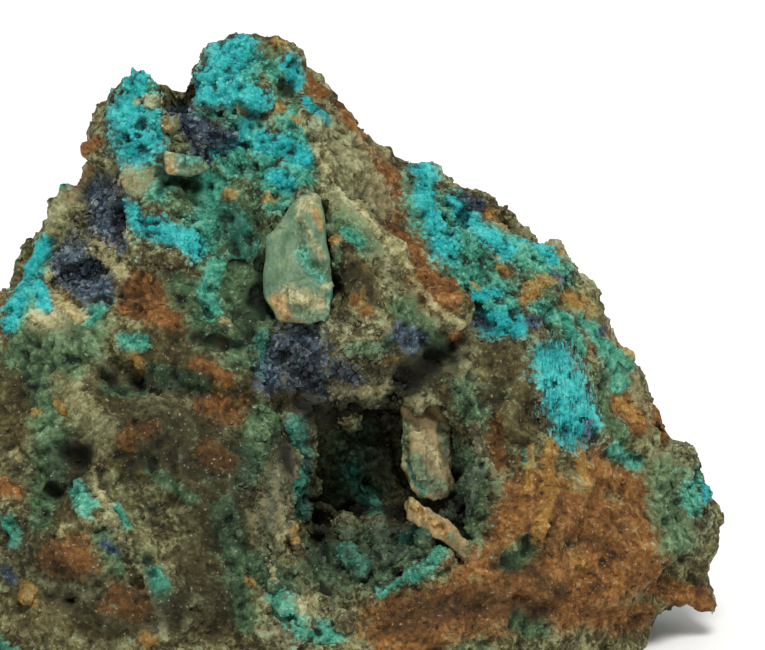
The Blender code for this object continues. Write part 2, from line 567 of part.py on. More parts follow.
def box_of(obj):
    # The lowest and highest corners of an object.
    corners = [obj.matrix_world @ vert.co for vert in obj.data.vertices]
    low = Vector([min(corner[axis] for corner in corners) for axis in range(3)])
    high = Vector([max(corner[axis] for corner in corners) for axis in range(3)])
    return low, high


def boxes_meet(one, other):
    low_a, high_a = box_of(one)
    low_b, high_b = box_of(other)
    return all(low_a[i] < high_b[i] and low_b[i] < high_a[i] for i in range(3))


def make_crust(name, bed, body, tree, parts, cutters):
    place, halves, turn, depth = bed
    frame = seat_frame(tree, place, turn)
    crust = copy_of(body, name, parts)
    rough_bed = ellipsoid(name + "_rough_bed", frame, halves, depth, CUT_MARGIN, cutters)
    boolean(crust, rough_bed, "INTERSECT")
    voxel_remesh(crust, CRUST_VOXEL)
    if name in AZURITE:
        decimate(crust, AZURITE_BED_TRIANGLES)
        add_crystals(crust, tree, bed, cutters, random.Random(name))
    else:
        add_globules(crust, GLOBULE_SIZE, GLOBULE_HEIGHT)
        voxel_remesh(crust, CRUST_VOXEL)
        decimate(crust, CRUST_TRIANGLES)
    boolean(crust, ellipsoid(name + "_bed", frame, halves, depth, 0, cutters), "INTERSECT")
    keep_largest(crust)
    room = ellipsoid(name + "_room", frame, halves, depth, ROUND_GAP, cutters)
    return crust, room, name.split("_")[0]


def add_lumps(obj, lumps):
    # Round lumps, which a voxel remesh then grows together with the surface.
    bm = bmesh.new()
    bm.from_mesh(obj.data)
    for right, up, back, radius in lumps:
        place = Matrix.Translation(at(right, up, back))
        bmesh.ops.create_icosphere(bm, subdivisions=2, radius=radius * MM, matrix=place)
    bm.to_mesh(obj.data)
    bm.free()


def make_vug_crust(body, parts, cutters):
    # The druse that lines the hollow, with its nodules and pillars.
    crust = copy_of(body, "vug_crust", parts)
    boolean(crust, hull_object("vug_rough_wall", grown(VUG, 2 * CUT_MARGIN), cutters), "INTERSECT")
    hollow = hull_object("vug_hollow", VUG, cutters)
    voxel_remesh(hollow, VOXEL)
    roughen(hollow, HOLLOW_ROUGHNESS)
    boolean(crust, hollow, "DIFFERENCE")
    add_lumps(crust, VUG_LUMPS)
    voxel_remesh(crust, CRUST_VOXEL)
    roughen(crust, DRUSE_ROUGHNESS)
    voxel_remesh(crust, CRUST_VOXEL)
    decimate(crust, VUG_CRUST_TRIANGLES)
    wall = hull_object("vug_wall", grown(VUG, VUG_CRUST_WALL), cutters)
    boolean(crust, wall, "INTERSECT")
    keep_largest(crust)
    room = hull_object("vug_room", grown(VUG, VUG_CRUST_WALL + GAP), cutters)
    return crust, room, "malachite"


def make_blade(name, corners, finish, parts, cutters):
    # A broken crystal, with the steps and grooves that the break left on it.
    blade = hull_object(name, corners, parts)
    every_corner = list(corners)
    for number, step in enumerate(BLADE_STEPS.get(name, [])):
        boolean(blade, hull_object(f"{name}_step_{number}", step, cutters), "UNION")
        every_corner += step
    for number, groove in enumerate(BLADE_GROOVES.get(name, [])):
        boolean(blade, hull_object(f"{name}_groove_{number}", groove, cutters), "DIFFERENCE")
    room = hull_object(name + "_room", grown(every_corner, GAP), cutters)
    return blade, room, finish


def make_rock(body, rooms, parts, cutters):
    # The matrix: the body with a flat foot and room for every mineral.
    rock = copy_of(body, "rock", parts)
    decimate(rock, ROCK_TRIANGLES)
    bm = bmesh.new()
    size = Matrix.Diagonal((GROUND_WIDTH * MM, GROUND_WIDTH * MM, GROUND_DEPTH * MM, 1))
    bmesh.ops.create_cube(bm, size=1, matrix=Matrix.Translation((0, 0, -GROUND_DEPTH * MM / 2)) @ size)
    boolean(rock, object_from(bm, "below_the_foot", cutters), "DIFFERENCE")
    for room in rooms:
        boolean(rock, room, "DIFFERENCE")
    keep_largest(rock)
    return rock


def build():
    clear_scene()
    parts = bpy.data.collections.new("lavendulan_with_azurite")
    cutters = bpy.data.collections.new("cutters")
    for collection in (parts, cutters):
        bpy.context.scene.collection.children.link(collection)
    body = make_body(cutters)
    tree = tree_of(body)
    made = []
    for name, corners in BLADES.items():
        made.append(make_blade(name, corners, "pale_crystal", parts, cutters))
    for name, corners in VUG_BLADES.items():
        made.append(make_blade(name, corners, "cream_crystal", parts, cutters))
    made.append(make_vug_crust(body, parts, cutters))
    for name, bed in (AZURITE | LAVENDULAN).items():
        made.append(make_crust(name, bed, body, tree, parts, cutters))
    for number, (piece, _, finish) in enumerate(made):
        for _, room, _ in made[:number]:
            if boxes_meet(piece, room):
                boolean(piece, room, "DIFFERENCE")
        keep_largest(piece)
        set_finish(piece, finish)
    rock = make_rock(body, [room for _, room, _ in made], parts, cutters)
    set_finish(rock, "rock")
    for cutter in cutters.objects:
        cutter.hide_render = True
        cutter.display_type = "WIRE"


build()
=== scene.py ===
import json
import math
import random

import bmesh
import bpy
import numpy as np
from mathutils import Matrix, Vector, noise
from mathutils.bvhtree import BVHTree
from mathutils.kdtree import KDTree

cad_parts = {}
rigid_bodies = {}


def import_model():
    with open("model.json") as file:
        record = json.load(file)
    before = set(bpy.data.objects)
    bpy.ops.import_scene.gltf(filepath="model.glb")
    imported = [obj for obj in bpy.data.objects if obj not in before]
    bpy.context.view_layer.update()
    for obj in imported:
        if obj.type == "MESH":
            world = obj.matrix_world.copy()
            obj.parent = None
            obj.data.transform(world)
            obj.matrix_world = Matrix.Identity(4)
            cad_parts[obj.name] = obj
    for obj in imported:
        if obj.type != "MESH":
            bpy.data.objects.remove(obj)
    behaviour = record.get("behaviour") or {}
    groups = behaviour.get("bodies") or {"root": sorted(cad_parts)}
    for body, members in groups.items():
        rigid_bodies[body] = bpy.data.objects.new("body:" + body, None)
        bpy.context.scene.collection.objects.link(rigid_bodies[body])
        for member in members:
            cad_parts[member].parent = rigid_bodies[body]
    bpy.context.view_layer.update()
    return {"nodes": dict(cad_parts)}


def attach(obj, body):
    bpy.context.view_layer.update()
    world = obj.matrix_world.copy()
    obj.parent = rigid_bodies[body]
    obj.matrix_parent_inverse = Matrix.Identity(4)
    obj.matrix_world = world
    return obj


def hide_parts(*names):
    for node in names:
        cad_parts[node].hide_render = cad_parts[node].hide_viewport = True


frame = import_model()
mm = 0.001
noise.seed_set(8)            # so that noise_vector is the same in every run

view = {
    "lean": 15,              # degrees that the show face leans back
    "pixelsPerMm": 20,
    "zeroPixel": (380, 680),  # the pixel that shows the face's zero
    "middle": (0.125, 17.75),  # the middle of the picture, on the face in mm
    "distance": 318.75,      # mm from the camera to the face
    "lens": 300,
    "sensor": 36,
    "shift": (3.045, -6.007, 0),  # mm, from the face's zero to the model's
}
lean = math.radians(view["lean"])
rightWay = Vector((1, 0, 0))
upWay = Vector((0, math.sin(lean), math.cos(lean)))
backWay = Vector((0, math.cos(lean), -math.sin(lean)))
faceZero = Vector(view["shift"]) * mm


def onFace(right, up, back=0):
    return (rightWay * right + upWay * up + backWay * back) * mm + faceZero


def faceOf(point):      # the reverse: mm right, up and back on the show face
    away = (point - faceZero) / mm
    return Vector((away.dot(rightWay), away.dot(upWay), away.dot(backWay)))


cameraPlace = onFace(*view["middle"], -view["distance"])


def pixelWay(x, y):     # from the camera through a pixel of the picture
    zeroX, zeroY = view["zeroPixel"]
    scale = view["pixelsPerMm"]
    return (onFace((x - zeroX) / scale, (zeroY - y) / scale) - cameraPlace).normalized()


def srgb(red, green, blue):
    return tuple(((c / 255 + 0.055) / 1.055) ** 2.4 if c > 10 else c / 3295 for c in (red, green, blue))


# Small helpers for meshes

def linked(name, data):
    obj = bpy.data.objects.new(name, data)
    bpy.context.scene.collection.objects.link(obj)
    return obj


def makeObject(name, bm):
    mesh = bpy.data.meshes.new(name)
    bm.to_mesh(mesh)
    bm.free()
    return linked(name, mesh)


def applyModifiers(obj):
    graph = bpy.context.evaluated_depsgraph_get()
    old = obj.data
    obj.data = bpy.data.meshes.new_from_object(obj.evaluated_get(graph))
    obj.modifiers.clear()
    bpy.data.meshes.remove(old)


def addModifier(obj, kind, **settings):
    modifier = obj.modifiers.new(kind.lower(), kind)
    for key, value in settings.items():
        setattr(modifier, key, value)


def remesh(obj, voxel, skin=0, smooth=0):
    # grown by a skin, remeshed, and shrunk again, which closes narrow gaps
    if skin:
        addModifier(obj, "DISPLACE", strength=skin * mm, mid_level=0)
    addModifier(obj, "REMESH", mode="VOXEL", voxel_size=voxel * mm)
    if skin:
        addModifier(obj, "DISPLACE", strength=-skin * mm, mid_level=0)
    if smooth:
        addModifier(obj, "SMOOTH", factor=0.5, iterations=smooth)
    applyModifiers(obj)


def copyOfNodes(names):
    bm = bmesh.new()
    for name in names:
        bm.from_mesh(frame["nodes"][name].data)
    bmesh.ops.remove_doubles(bm, verts=bm.verts, dist=0.002 * mm)
    return bm


def treeOf(obj):
    bm = bmesh.new()
    bm.from_mesh(obj.data)
    tree = BVHTree.FromBMesh(bm)
    bm.free()
    return tree


def seat(tree, x, y):   # where the surface shows at a pixel of the picture
    point, normal, _, _ = tree.ray_cast(cameraPlace, pixelWay(x, y))
    return point, normal


def ease(value, low, high):
    share = min(1, max(0, (value - low) / (high - low)))
    return share * share * (3 - 2 * share)


def setAttribute(obj, name, values):
    layer = obj.data.attributes.get(name) or obj.data.attributes.new(name, "FLOAT", "POINT")
    layer.data.foreach_set("value", values)


def attributeOf(obj, name):
    values = np.zeros(len(obj.data.vertices), np.float32)
    obj.data.attributes[name].data.foreach_get("value", values)
    return values


def shadeSmooth(obj):
    obj.data.polygons.foreach_set("use_smooth", [True] * len(obj.data.polygons))
    obj.data.update()


def report(obj):
    obj.data.calc_loop_triangles()
    print(obj.name, len(obj.data.loop_triangles), "triangles")


# Node trees: one wrapper for sockets, one for trees

class Wire:
    def __init__(self, tree, socket):
        self.tree, self.socket = tree, socket

    def maths(self, operation, first, second):
        return self.tree.node("ShaderNodeMath", {"operation": operation}, {0: first, 1: second})

    def __add__(self, other):
        return self.maths("ADD", self, other)

    __radd__ = __add__

    def __sub__(self, other):
        return self.maths("SUBTRACT", self, other)

    def __rsub__(self, other):
        return self.maths("SUBTRACT", other, self)

    def __mul__(self, other):
        return self.maths("MULTIPLY", self, other)

    __rmul__ = __mul__


class Tree:
    def __init__(self, nodeTree):
        self.nodeTree = nodeTree

    def node(self, kind, settings=None, values=None, out=0):
        made = self.nodeTree.nodes.new(kind)
        for key, value in (settings or {}).items():
            if key == "stops":
                self.setStops(made.color_ramp, value)
            else:
                setattr(made, key, value)
        for key, value in (values or {}).items():
            socket = made.inputs[key]
            if isinstance(value, Wire):
                self.nodeTree.links.new(value.socket, socket)
            else:
                socket.default_value = value
        return Wire(self, made.outputs[out]) if made.outputs else made

    def setStops(self, ramp, stops):
        while len(ramp.elements) < len(stops):
            ramp.elements.new(1)
        for element, (position, colour) in zip(ramp.elements, stops):
            element.position = position
            element.color = (*colour, 1)

    def output(self, wire, name):
        return Wire(self, wire.socket.node.outputs[name])


class Finish(Tree):
    # a Principled material on Object coordinates, in millimetres
    def __init__(self, name, **settings):
        self.material = bpy.data.materials.new(name)
        self.material.use_nodes = True
        super().__init__(self.material.node_tree)
        self.shader = self.nodeTree.nodes["Principled BSDF"]
        for key, value in settings.items():
            self.shader.inputs[key].default_value = value
        coordinates = self.node("ShaderNodeTexCoord", out="Object")
        self.place = self.node(
            "ShaderNodeVectorMath", {"operation": "SCALE"}, {0: coordinates, "Scale": 1 / mm})

    def attribute(self, name):
        return self.node("ShaderNodeAttribute", {"attribute_name": name}, out="Fac")

    def noise(self, size, detail=3, roughness=0.6, shift=0, stretch=(1, 1, 1)):
        place = self.node(
            "ShaderNodeVectorMath", {"operation": "MULTIPLY_ADD"},
            {0: self.place, 1: stretch, 2: (shift, shift, shift)})
        values = {"Vector": place, "Scale": 1 / size, "Detail": detail, "Roughness": roughness}
        return self.node("ShaderNodeTexNoise", {}, values)

    def cells(self, size):
        # the distance from each cell's middle, and a number of its own for each cell
        distance = self.node("ShaderNodeTexVoronoi", {}, {"Vector": self.place, "Scale": 1 / size})
        number = self.node("ShaderNodeSeparateColor", {}, {0: self.output(distance, "Color")})
        return distance, number

    def step(self, value, low, high):
        return self.node(
            "ShaderNodeMapRange", {"interpolation_type": "SMOOTHSTEP"},
            {"Value": value, "From Min": low, "From Max": high})

    def mix(self, share, first, second):
        return self.node(
            "ShaderNodeMix", {"data_type": "RGBA"}, {0: share, 6: first, 7: second}, out=2)

    def ramp(self, value, *stops):
        return self.node("ShaderNodeValToRGB", {"stops": stops}, {0: value})

    def bump(self, height, depth, strength=1):
        normal = self.node(
            "ShaderNodeBump", {}, {"Height": height, "Distance": depth * mm, "Strength": strength})
        self.feed("Normal", normal)

    def feed(self, name, wire):
        self.nodeTree.links.new(wire.socket, self.shader.inputs[name])


# Where each mineral shows, and where shade is painted, as strokes on the picture: half width, then x,y of
# each point, in pixels

growths = {
    "turquoise": [
        (24, 128,112, 138,148), (9, 134,76, 138,92), (7, 156,112, 156,138, 146,152),  # left peak
        (22, 208,88, 226,62, 236,46), (13, 206,96, 240,92, 255,100), (9, 290,62, 296,80),  # summit
        (8, 305,100, 324,118), (9, 250,112, 238,138, 216,150),  # pit rim, under the notch
        (12, 148,226, 174,236, 196,246), (9, 120,202, 134,214, 142,226),  # middle of the face
        (12, 262,142, 284,146, 302,158), (9, 276,176, 290,184),  # upper face
        (14, 418,172, 432,206, 446,250), (10, 456,200, 480,236, 506,250), (7, 470,300, 496,290),  # slope
        (7, 520,240, 552,256), (16, 492,322, 514,326),  # slope's right and foot
        (23, 552,364, 566,398, 578,424), (7, 704,474, 708,498),  # fibres, lobe
        (10, 44,242, 26,276, 10,322), (8, 40,286, 46,308),  # left flank
    ],
    "teal": [
        (18, 134,72, 138,90), (14, 248,60, 246,92),  # left peak, summit's side
        (18, 236,118, 250,134, 232,160), (10, 168,176, 156,198),  # top and left of the face
        (6, 198,118, 228,112), (11, 260,60, 276,72), (9, 352,470, 376,512),  # notch, summit, rod
        (19, 208,184, 216,210, 200,236), (17, 262,164, 272,184, 276,200),  # middle of the face
        (16, 290,120, 296,140, 300,176), (14, 236,222, 244,244), (10, 218,262, 206,292, 214,314),
        (9, 300,236, 312,262, 318,274), (6, 346,232, 360,244), (9, 262,340, 266,372),  # blade, nose
        (11, 296,424, 302,462, 300,508), (9, 345,552, 362,566), (8, 400,540, 420,530),  # hollow
        (7, 380,592, 424,568, 456,538), (11, 276,596, 296,628, 332,634),  # hollow's rim and below
        (8, 70,172, 62,182), (16, 38,252, 24,288, 16,316), (9, 104,300, 92,322),  # flank, cheek
        (8, 126,340, 144,342), (6, 548,356, 540,386), (10, 604,344, 630,366),  # pocket, knob, right
        (9, 612,450, 634,462), (10, 690,474, 696,508), (10, 74,488, 88,508),  # right, lobe, lower left
        (10, 8,524, 14,540), (7, 116,508, 126,522), (8, 154,574, 160,586), (7, 530,454, 528,462),
        (30, 428,196, 460,250, 496,300), (15, 500,240, 536,258, 562,276),  # slope
        (9, 534,306, 566,318, 578,350), (12, 588,316, 604,352, 620,384),  # slope's far end
    ],
    "green": [
        (46, 190,190, 236,220, 232,290), (24, 262,252, 258,310, 246,350),  # face
        (20, 188,290, 210,330), (16, 176,282, 196,318), (12, 150,372, 200,384),  # cheek
        (16, 226,226, 244,250, 250,280), (13, 338,222, 366,246),  # face, blade's right
        (30, 350,440, 352,500), (18, 462,392, 474,412), (21, 262,424, 252,470),  # void, knob
        (16, 240,556, 284,584), (22, 452,452, 470,490, 462,528),  # hollow
        (30, 330,560, 380,560, 420,548), (14, 414,468, 430,492),  # hollow's foot, blade
        (17, 30,360, 50,430, 40,520), (11, 104,536, 116,566), (14, 222,510, 236,560, 244,620),  # left
        (7, 152,470, 192,500), (12, 512,560, 530,548), (12, 520,622, 536,630),  # brown face, slab
        (12, 600,380, 604,410, 620,436), (24, 668,480, 674,540),  # right, lobe
        (22, 90,330, 70,356, 20,350), (7, 352,348, 376,352, 392,340),  # cheek, nose's rim
        (14, 404,306, 420,330, 438,350), (16, 520,240, 548,300, 560,336),  # nose's side, slope
        (8, 146,560, 162,600), (8, 108,388, 142,394), (20, 262,60, 280,90),  # ridge, pits, summit
    ],
    "azurite": [
        (12, 180,112, 192,128, 220,138), (6, 196,148, 206,160),  # notch
        (18, 98,190, 110,228), (23, 64,258, 80,274, 92,286), (6, 104,284, 108,300),  # left hollow
        (27, 300,352, 312,374), (14, 278,352, 270,382), (12, 336,372, 350,384),  # overhang
        (14, 404,332, 416,344), (5, 128,244, 124,256), (6, 466,196, 478,208),  # nose, slope
        (7, 474,320, 486,324), (5, 556,272, 566,278), (8, 532,324, 544,322),  # slope
        (6, 602,332, 612,328), (5, 588,422, 590,434), (7, 6,572, 10,582), (5, 104,544, 114,552),
    ],
    "rust": [
        (23, 388,188, 412,234, 440,292), (10, 340,110, 372,150, 394,186),  # the plane under the ridge
        (13, 396,172, 422,222, 448,280), (13, 206,402, 240,414), (11, 206,450, 236,466),  # face stains
        (10, 616,398, 642,424), (12, 126,306, 150,314, 178,318), (16, 132,286, 160,300),  # cheek
        (18, 560,612, 640,616), (10, 196,366, 226,380), (8, 356,300, 366,312),  # undercut, knob
        (40, 470,560, 540,500, 600,520), (38, 400,630, 470,600, 560,580, 640,560),  # slab
        (24, 600,470, 636,490, 640,530), (14, 640,340, 652,392, 660,430), (14, 620,372, 640,420),
        (9, 494,424, 498,464), (7, 456,336, 450,342), (8, 496,222, 504,228),  # knob, sill, slope
        (8, 502,266, 478,284), (11, 528,300, 536,284, 556,276), (7, 546,244, 560,250),  # slope
        (7, 486,214, 504,226), (9, 604,330, 634,346), (9, 596,348, 614,376), (5, 430,210, 434,216),
        (6, 98,140, 92,170, 70,200), (9, 310,80, 318,92), (12, 6,486, 20,490),  # left edge, summit
        (21, 58,562, 78,560), (17, 118,600, 136,606), (12, 128,440, 146,430),  # lumps at the left
        (5, 250,350, 252,352), (7, 4,300, 2,346), (14, 660,586, 700,600),  # far edge, undercut
    ],
    "ochre": [
        (7, 134,356, 142,368), (6, 276,109, 282,110), (4, 296,118, 298,122),  # crystal, upper face
        (6, 224,194, 232,196), (6, 264,198, 274,200), (5, 320,208, 324,224),  # face
        (8, 552,446, 548,500, 540,540), (5, 532,450, 528,490), (6, 580,440, 584,480),  # slab
        (5, 120,170, 126,184), (4, 362,290, 360,302), (6, 572,560, 580,566),  # block, knob
        (8, 526,298, 538,282, 556,276), (6, 500,264, 508,270), (4, 474,284, 480,286),  # slope
        (7, 492,218, 506,228), (7, 540,244, 556,250), (7, 570,296, 592,312), (4, 566,358, 574,374),
        (6, 616,340, 632,354), (6, 620,400, 640,418), (5, 292,530, 294,540),  # right, hollow
        (5, 34,408, 38,414), (5, 60,408, 64,412), (9, 26,588, 34,600), (7, 144,636, 152,640),  # left
        (4, 248,578, 252,582), (4, 296,392, 300,396), (4, 452,334, 456,338),  # hollow, nose, sill
        (6, 58,284, 64,300, 76,318), (5, 276,40, 284,42), (4, 164,122, 168,128), (4, 382,362, 396,358),
    ],
    "cream": [
        (5, 138,101, 160,104), (2, 158,122, 170,115, 182,120), (6, 264,80, 270,76),  # peaks
        (4, 238,107, 244,109), (8, 99,244, 107,260, 120,272),  # notch, left hollow's rim
        (7, 50,276, 56,292, 62,306, 82,318), (7, 38,318, 54,322), (4, 222,322, 230,320),  # flank
        (8, 334,388, 362,392, 388,384), (3, 300,112, 318,156, 344,194, 384,240),  # nose, ridge line
        (4, 94,470, 104,496, 112,504), (4, 274,482, 280,500, 280,520),  # lower ridge, column
        (4, 384,240, 404,268, 436,306, 462,326), (5, 262,488, 264,514), (5, 276,518, 288,548),
        (4, 250,512, 254,540), (5, 272,562, 274,576), (6, 300,606, 312,600),  # column's foot
        (7, 398,410, 410,404, 420,400), (5, 12,450, 16,456), (4, 64,528, 60,534),  # yellow crust, left
    ],
    # pale dust, and partly painted light: the first stroke lightens the lumps that lie in shade at the
    # back of the hollow
    "dust": [
        (20, 364,450, 376,470, 372,500), (19, 322,124, 346,146, 360,160),  # void, plane
        (13, 350,138, 370,176, 386,208), (12, 458,366, 470,390), (9, 500,226, 548,236, 590,290),
        (10, 330,190, 366,240, 396,290, 430,326), (6, 90,476, 104,498, 122,540, 142,566),  # ridges
        (6, 142,566, 158,600, 164,636), (6, 276,474, 266,500, 276,532), (9, 286,600, 330,616),
        (6, 448,360, 458,350, 476,348), (5, 486,446, 492,470), (14, 92,146, 76,184, 50,226),  # edges
        (12, 610,330, 640,400), (20, 668,460, 686,490, 700,520), (17, 118,172, 142,186),  # lobe, block
        (10, 100,250, 120,274), (10, 44,320, 84,330),  # left rim, flank
    ],
    # painted shade, not a mineral: a broad dark wash over the hollow, the overhang, the brown face, the
    # left foot, the face's edge and the slab
    "gloom": [
        (12, 300,400, 308,450, 310,520), (16, 226,212, 244,250), (10, 344,270, 366,290),  # face, nose
        (20, 300,404, 400,404), (36, 330,560, 380,552, 430,516), (30, 448,430, 466,500),  # hollow
        (18, 284,440, 270,520), (18, 292,360, 330,384, 400,366), (20, 400,392, 450,350),  # overhang
        (40, 150,430, 220,460, 236,520), (18, 110,376, 200,384), (22, 60,470, 80,450),  # brown face
        (28, 30,560, 110,610, 220,600), (14, 256,300, 250,330),  # left foot, face's edge
        (18, 400,620, 480,600, 540,610), (12, 500,560, 560,590),  # slab
    ],
    "olive": [
        (23, 120,172, 144,186), (9, 168,118, 176,132), (14, 264,50, 274,64),  # block, knob, summit
        (10, 248,158, 262,182), (14, 352,220, 384,262, 410,300), (18, 340,160, 366,200, 388,250),
        (20, 560,300, 596,312), (20, 620,390, 644,430), (15, 92,176, 66,208, 50,236),  # edges
        (14, 40,330, 90,340), (12, 330,120, 364,150), (12, 664,470, 668,520),  # cheek, grey, lobe
        (12, 600,612, 640,620), (14, 272,470, 270,520, 276,560), (14, 262,600, 300,610),  # hollow
        (18, 60,380, 100,440), (12, 110,480, 140,530, 164,580),  # lower left
    ],
    # painted shadow, not a mineral: near-black strokes where shade falls, under the hollow's roof and on
    # its floor, in the slot, grooves, gaps and pits
    "dark": [
        (17, 318,414, 352,410, 388,408), (8, 260,258, 262,312), (7, 196,336, 240,344),  # roof, blade
        (6, 246,108, 262,116), (9, 300,404, 318,412), (11, 436,432, 450,470, 460,516),  # groove
        (7, 284,446, 286,470), (16, 314,500, 322,532), (6, 324,546, 327,562), (5, 322,586, 330,594),
        (10, 330,512, 396,512), (17, 402,382, 446,354), (8, 446,352, 460,340),  # floor, slot
        (6, 142,122, 146,130), (5, 124,134, 128,142), (6, 284,82, 292,90),  # pits of the peaks
        (5, 313,106, 317,112), (7, 208,112, 222,114), (9, 118,206, 122,234), (5, 64,266, 78,270),
        (7, 170,182, 198,186), (5, 158,172, 160,196), (7, 100,374, 112,380),  # chip, block, cheek
        (5, 132,380, 142,386), (4, 152,390, 156,394), (9, 66,448, 80,458, 86,452),  # left pits
        (7, 50,488, 56,494), (5, 134,582, 140,586), (5, 66,600, 72,604), (6, 462,212, 466,218),
        (5, 476,306, 482,310), (5, 692,578, 696,584), (7, 698,524, 704,528),  # slope, lobe
        (4, 283,452, 284,462), (9, 254,290, 250,300),  # column, face's edge
    ],
    "brown": [
        (40, 170,440, 220,480, 230,530), (24, 150,360, 210,380, 240,400),  # face, cheek
        (22, 344,262, 360,290), (24, 500,360, 520,400, 500,430), (16, 150,290, 180,330),  # nose, knob
        (24, 200,560, 220,620), (22, 110,400, 120,470), (10, 270,46, 284,60),  # foot, left, summit
        (24, 40,400, 80,470, 60,560), (24, 30,610, 110,620, 170,600), (18, 10,370, 16,440),
    ],
}

# Small lumps and pits of the surface: pixel, half width in pixels, height in mm

reliefs = {
    "peak pit": ((143, 126), 8, -0.9), "peak pit low": ((126, 138), 7, -0.8),
    "summit pit": ((287, 86), 9, -0.8), "ridge pit": ((315, 110), 8, -0.8),
    "pale knob": ((172, 124), 10, 0.5), "block": ((132, 178), 20, 0.4),
    "left hollow": ((118, 210), 9, -0.8), "under the chip": ((184, 186), 12, -0.6),
    "cheek pit": ((106, 377), 10, -0.9), "cheek pit right": ((137, 383), 8, -0.7),
    "cheek pit end": ((154, 392), 6, -0.6), "orange crystal": ((140, 362), 8, 0.5),
    "left pit": ((76, 455), 13, -0.6), "left pit low": ((53, 491), 10, -0.8),
    "round lump": ((60, 560), 24, 0.6), "red lump": ((131, 603), 17, 0.6),
    "ochre lump": ((30, 592), 12, 0.5), "lower pit": ((136, 584), 8, -0.6),
    "lower pit left": ((69, 602), 8, -0.6), "far lump": ((10, 488), 14, 0.5),
    "slope pit": ((464, 215), 9, -0.6), "slope pit low": ((478, 308), 8, -0.5),
    "slope foot": ((503, 325), 18, 0.5), "slope lump": ((455, 235), 14, 0.4),
    "slope lump far": ((532, 256), 14, 0.3), "edge lump": ((596, 312), 12, 0.4),
    "lobe pit": ((693, 580), 7, -0.7), "lobe lump": ((702, 500), 14, 0.4),
    "brown knob": ((362, 288), 24, 0.5), "nose rim": ((364, 392), 14, 0.3),
    "face ochre": ((228, 195), 9, 0.3), "face ochre right": ((268, 199), 9, 0.3),
    "summit chip": ((267, 79), 7, 0.3), "peak lens": ((150, 102), 8, 0.3),
    "knob spot": ((500, 425), 9, 0.3), "sill lump": ((286, 596), 14, 0.5),
    "sill lump right": ((326, 612), 12, 0.4), "column foot": ((274, 570), 9, 0.4),
    "saddle": ((177, 93), 12, -0.7), "rimmed knob": ((170, 126), 11, 0.3),
    "slot": ((408, 382), 16, -0.8), "slot middle": ((434, 360), 15, -0.8),
    "slot end": ((454, 344), 10, -0.6), "hollow gap": ((286, 456), 9, -0.7),
    "hollow valley": ((314, 534), 12, -0.8), "hollow valley low": ((320, 574), 12, -0.9),
    "hollow groove": ((450, 468), 8, -0.6), "hollow groove low": ((461, 510), 8, -0.6),
    "blade's left": ((259, 262), 8, -0.5), "blade's left low": ((259, 292), 10, -0.6),
    "under the cheek": ((218, 342), 11, -0.4), "cheek lump": ((150, 300), 26, 0.4),
    "slab crack": ((520, 596), 12, -0.4), "slab pit": ((470, 560), 9, -0.3),
    "face dent": ((238, 268), 14, -0.4), "face lump": ((246, 160), 16, 0.3),
    "gap": ((178, 94), 28, -2.8), "summit edge": ((207, 50), 20, -1.9),
    "peak": ((136, 84), 15, 0.4), "crest": ((322, 80), 20, -1.6), "crest right": ((341, 96), 24, -1.8),
    "slope crest": ((500, 203), 16, -1.3), "slope crest right": ((514, 209), 30, -2.4),
    "slope crest end": ((527, 221), 20, -1.2), "slope rim": ((552, 252), 15, 0.8),
    "valley low": ((326, 590), 10, -0.9), "nodule gap": ((396, 570), 7, -0.6),
    "right rim": ((622, 356), 14, 0.6), "right rim low": ((638, 384), 17, 0.5),
    "left rim": ((60, 216), 20, 0.9), "left rim top": ((74, 200), 20, 1.2),
    "flank rim": ((24, 254), 18, -1.8),
    "lobe top": ((672, 437), 24, -1.8), "lobe end": ((702, 476), 20, -2.3),
    "roof": ((332, 413), 15, -1.5), "roof middle": ((353, 410), 15, -1.8),
    "roof right": ((374, 409), 15, -1.8), "roof end": ((392, 404), 11, -0.9),
    "floor left": ((320, 520), 17, -2.2), "floor": ((344, 516), 12, -1.0),
}

surface = {
    "voxel": 0.34,           # mm
    "skin": 0.17,            # mm, closes the gaps between the minerals' solids
    "reach": (1.4, 2.6),     # mm round the seats where the picture's growths fade into the wild ones
    "stepPixels": 5,
    "depthShare": 0.5,       # depth counts for less than width in a growth
    "layers": ((3.2, 0.34), (1.5, 0.34), (0.75, 0.22)),  # size and height of the relief
    "chips": ((2.4, 0.55), (1.0, 0.28)),                 # size and tilt of the broken faces
    "grit": ((0.4, 0.13), (0.22, 0.07)),
    "sponge": (0.5, 0.34),   # size and depth of the holes in the copper minerals
    "globules": (0.42, 0.15),
    "crystals": (0.5, 0.4),  # size and tilt of the azurite's faces
    "farShare": 0.45,       # how much of the far side's mesh is kept
}

wildGrowths = {              # size in mm and level of the growths on the unseen sides
    "turquoise": (7, 0.36), "teal": (6, 0.22), "green": (8, 0.0), "azurite": (4, 0.48),
    "rust": (9, 0.0), "ochre": (3, 0.42), "cream": (2.5, 0.5), "olive": (7, -0.1),
    # the near-black strokes and the broad dark wash are painted shade, set here at random
    "dark": (2.4, 0.46), "brown": (10, -0.05), "dust": (6, 0.12), "gloom": (7, 0.2),
}


def squeezed(point):
    right, up, back = faceOf(point)
    return Vector((right, up, back * surface["depthShare"]))


def seatsOf(tree, strokes):
    # a growth's strokes as seats on the surface, in face millimetres
    seats = []
    for halfWidth, *numbers in strokes:
        points = list(zip(numbers[::2], numbers[1::2]))
        for start, end in zip(points, points[1:]):
            count = max(1, round(math.dist(start, end) / surface["stepPixels"]))
            for number in range(count + 1):
                share = number / count
                x, y = (a + (b - a) * share for a, b in zip(start, end))
                point, _ = seat(tree, x, y)
                if point:
                    seats.append((squeezed(point), halfWidth / view["pixelsPerMm"]))
    return seats


def treeOfPlaces(places):
    tree = KDTree(len(places))
    for number, place in enumerate(places):
        tree.insert(place, number)
    tree.balance()
    return tree


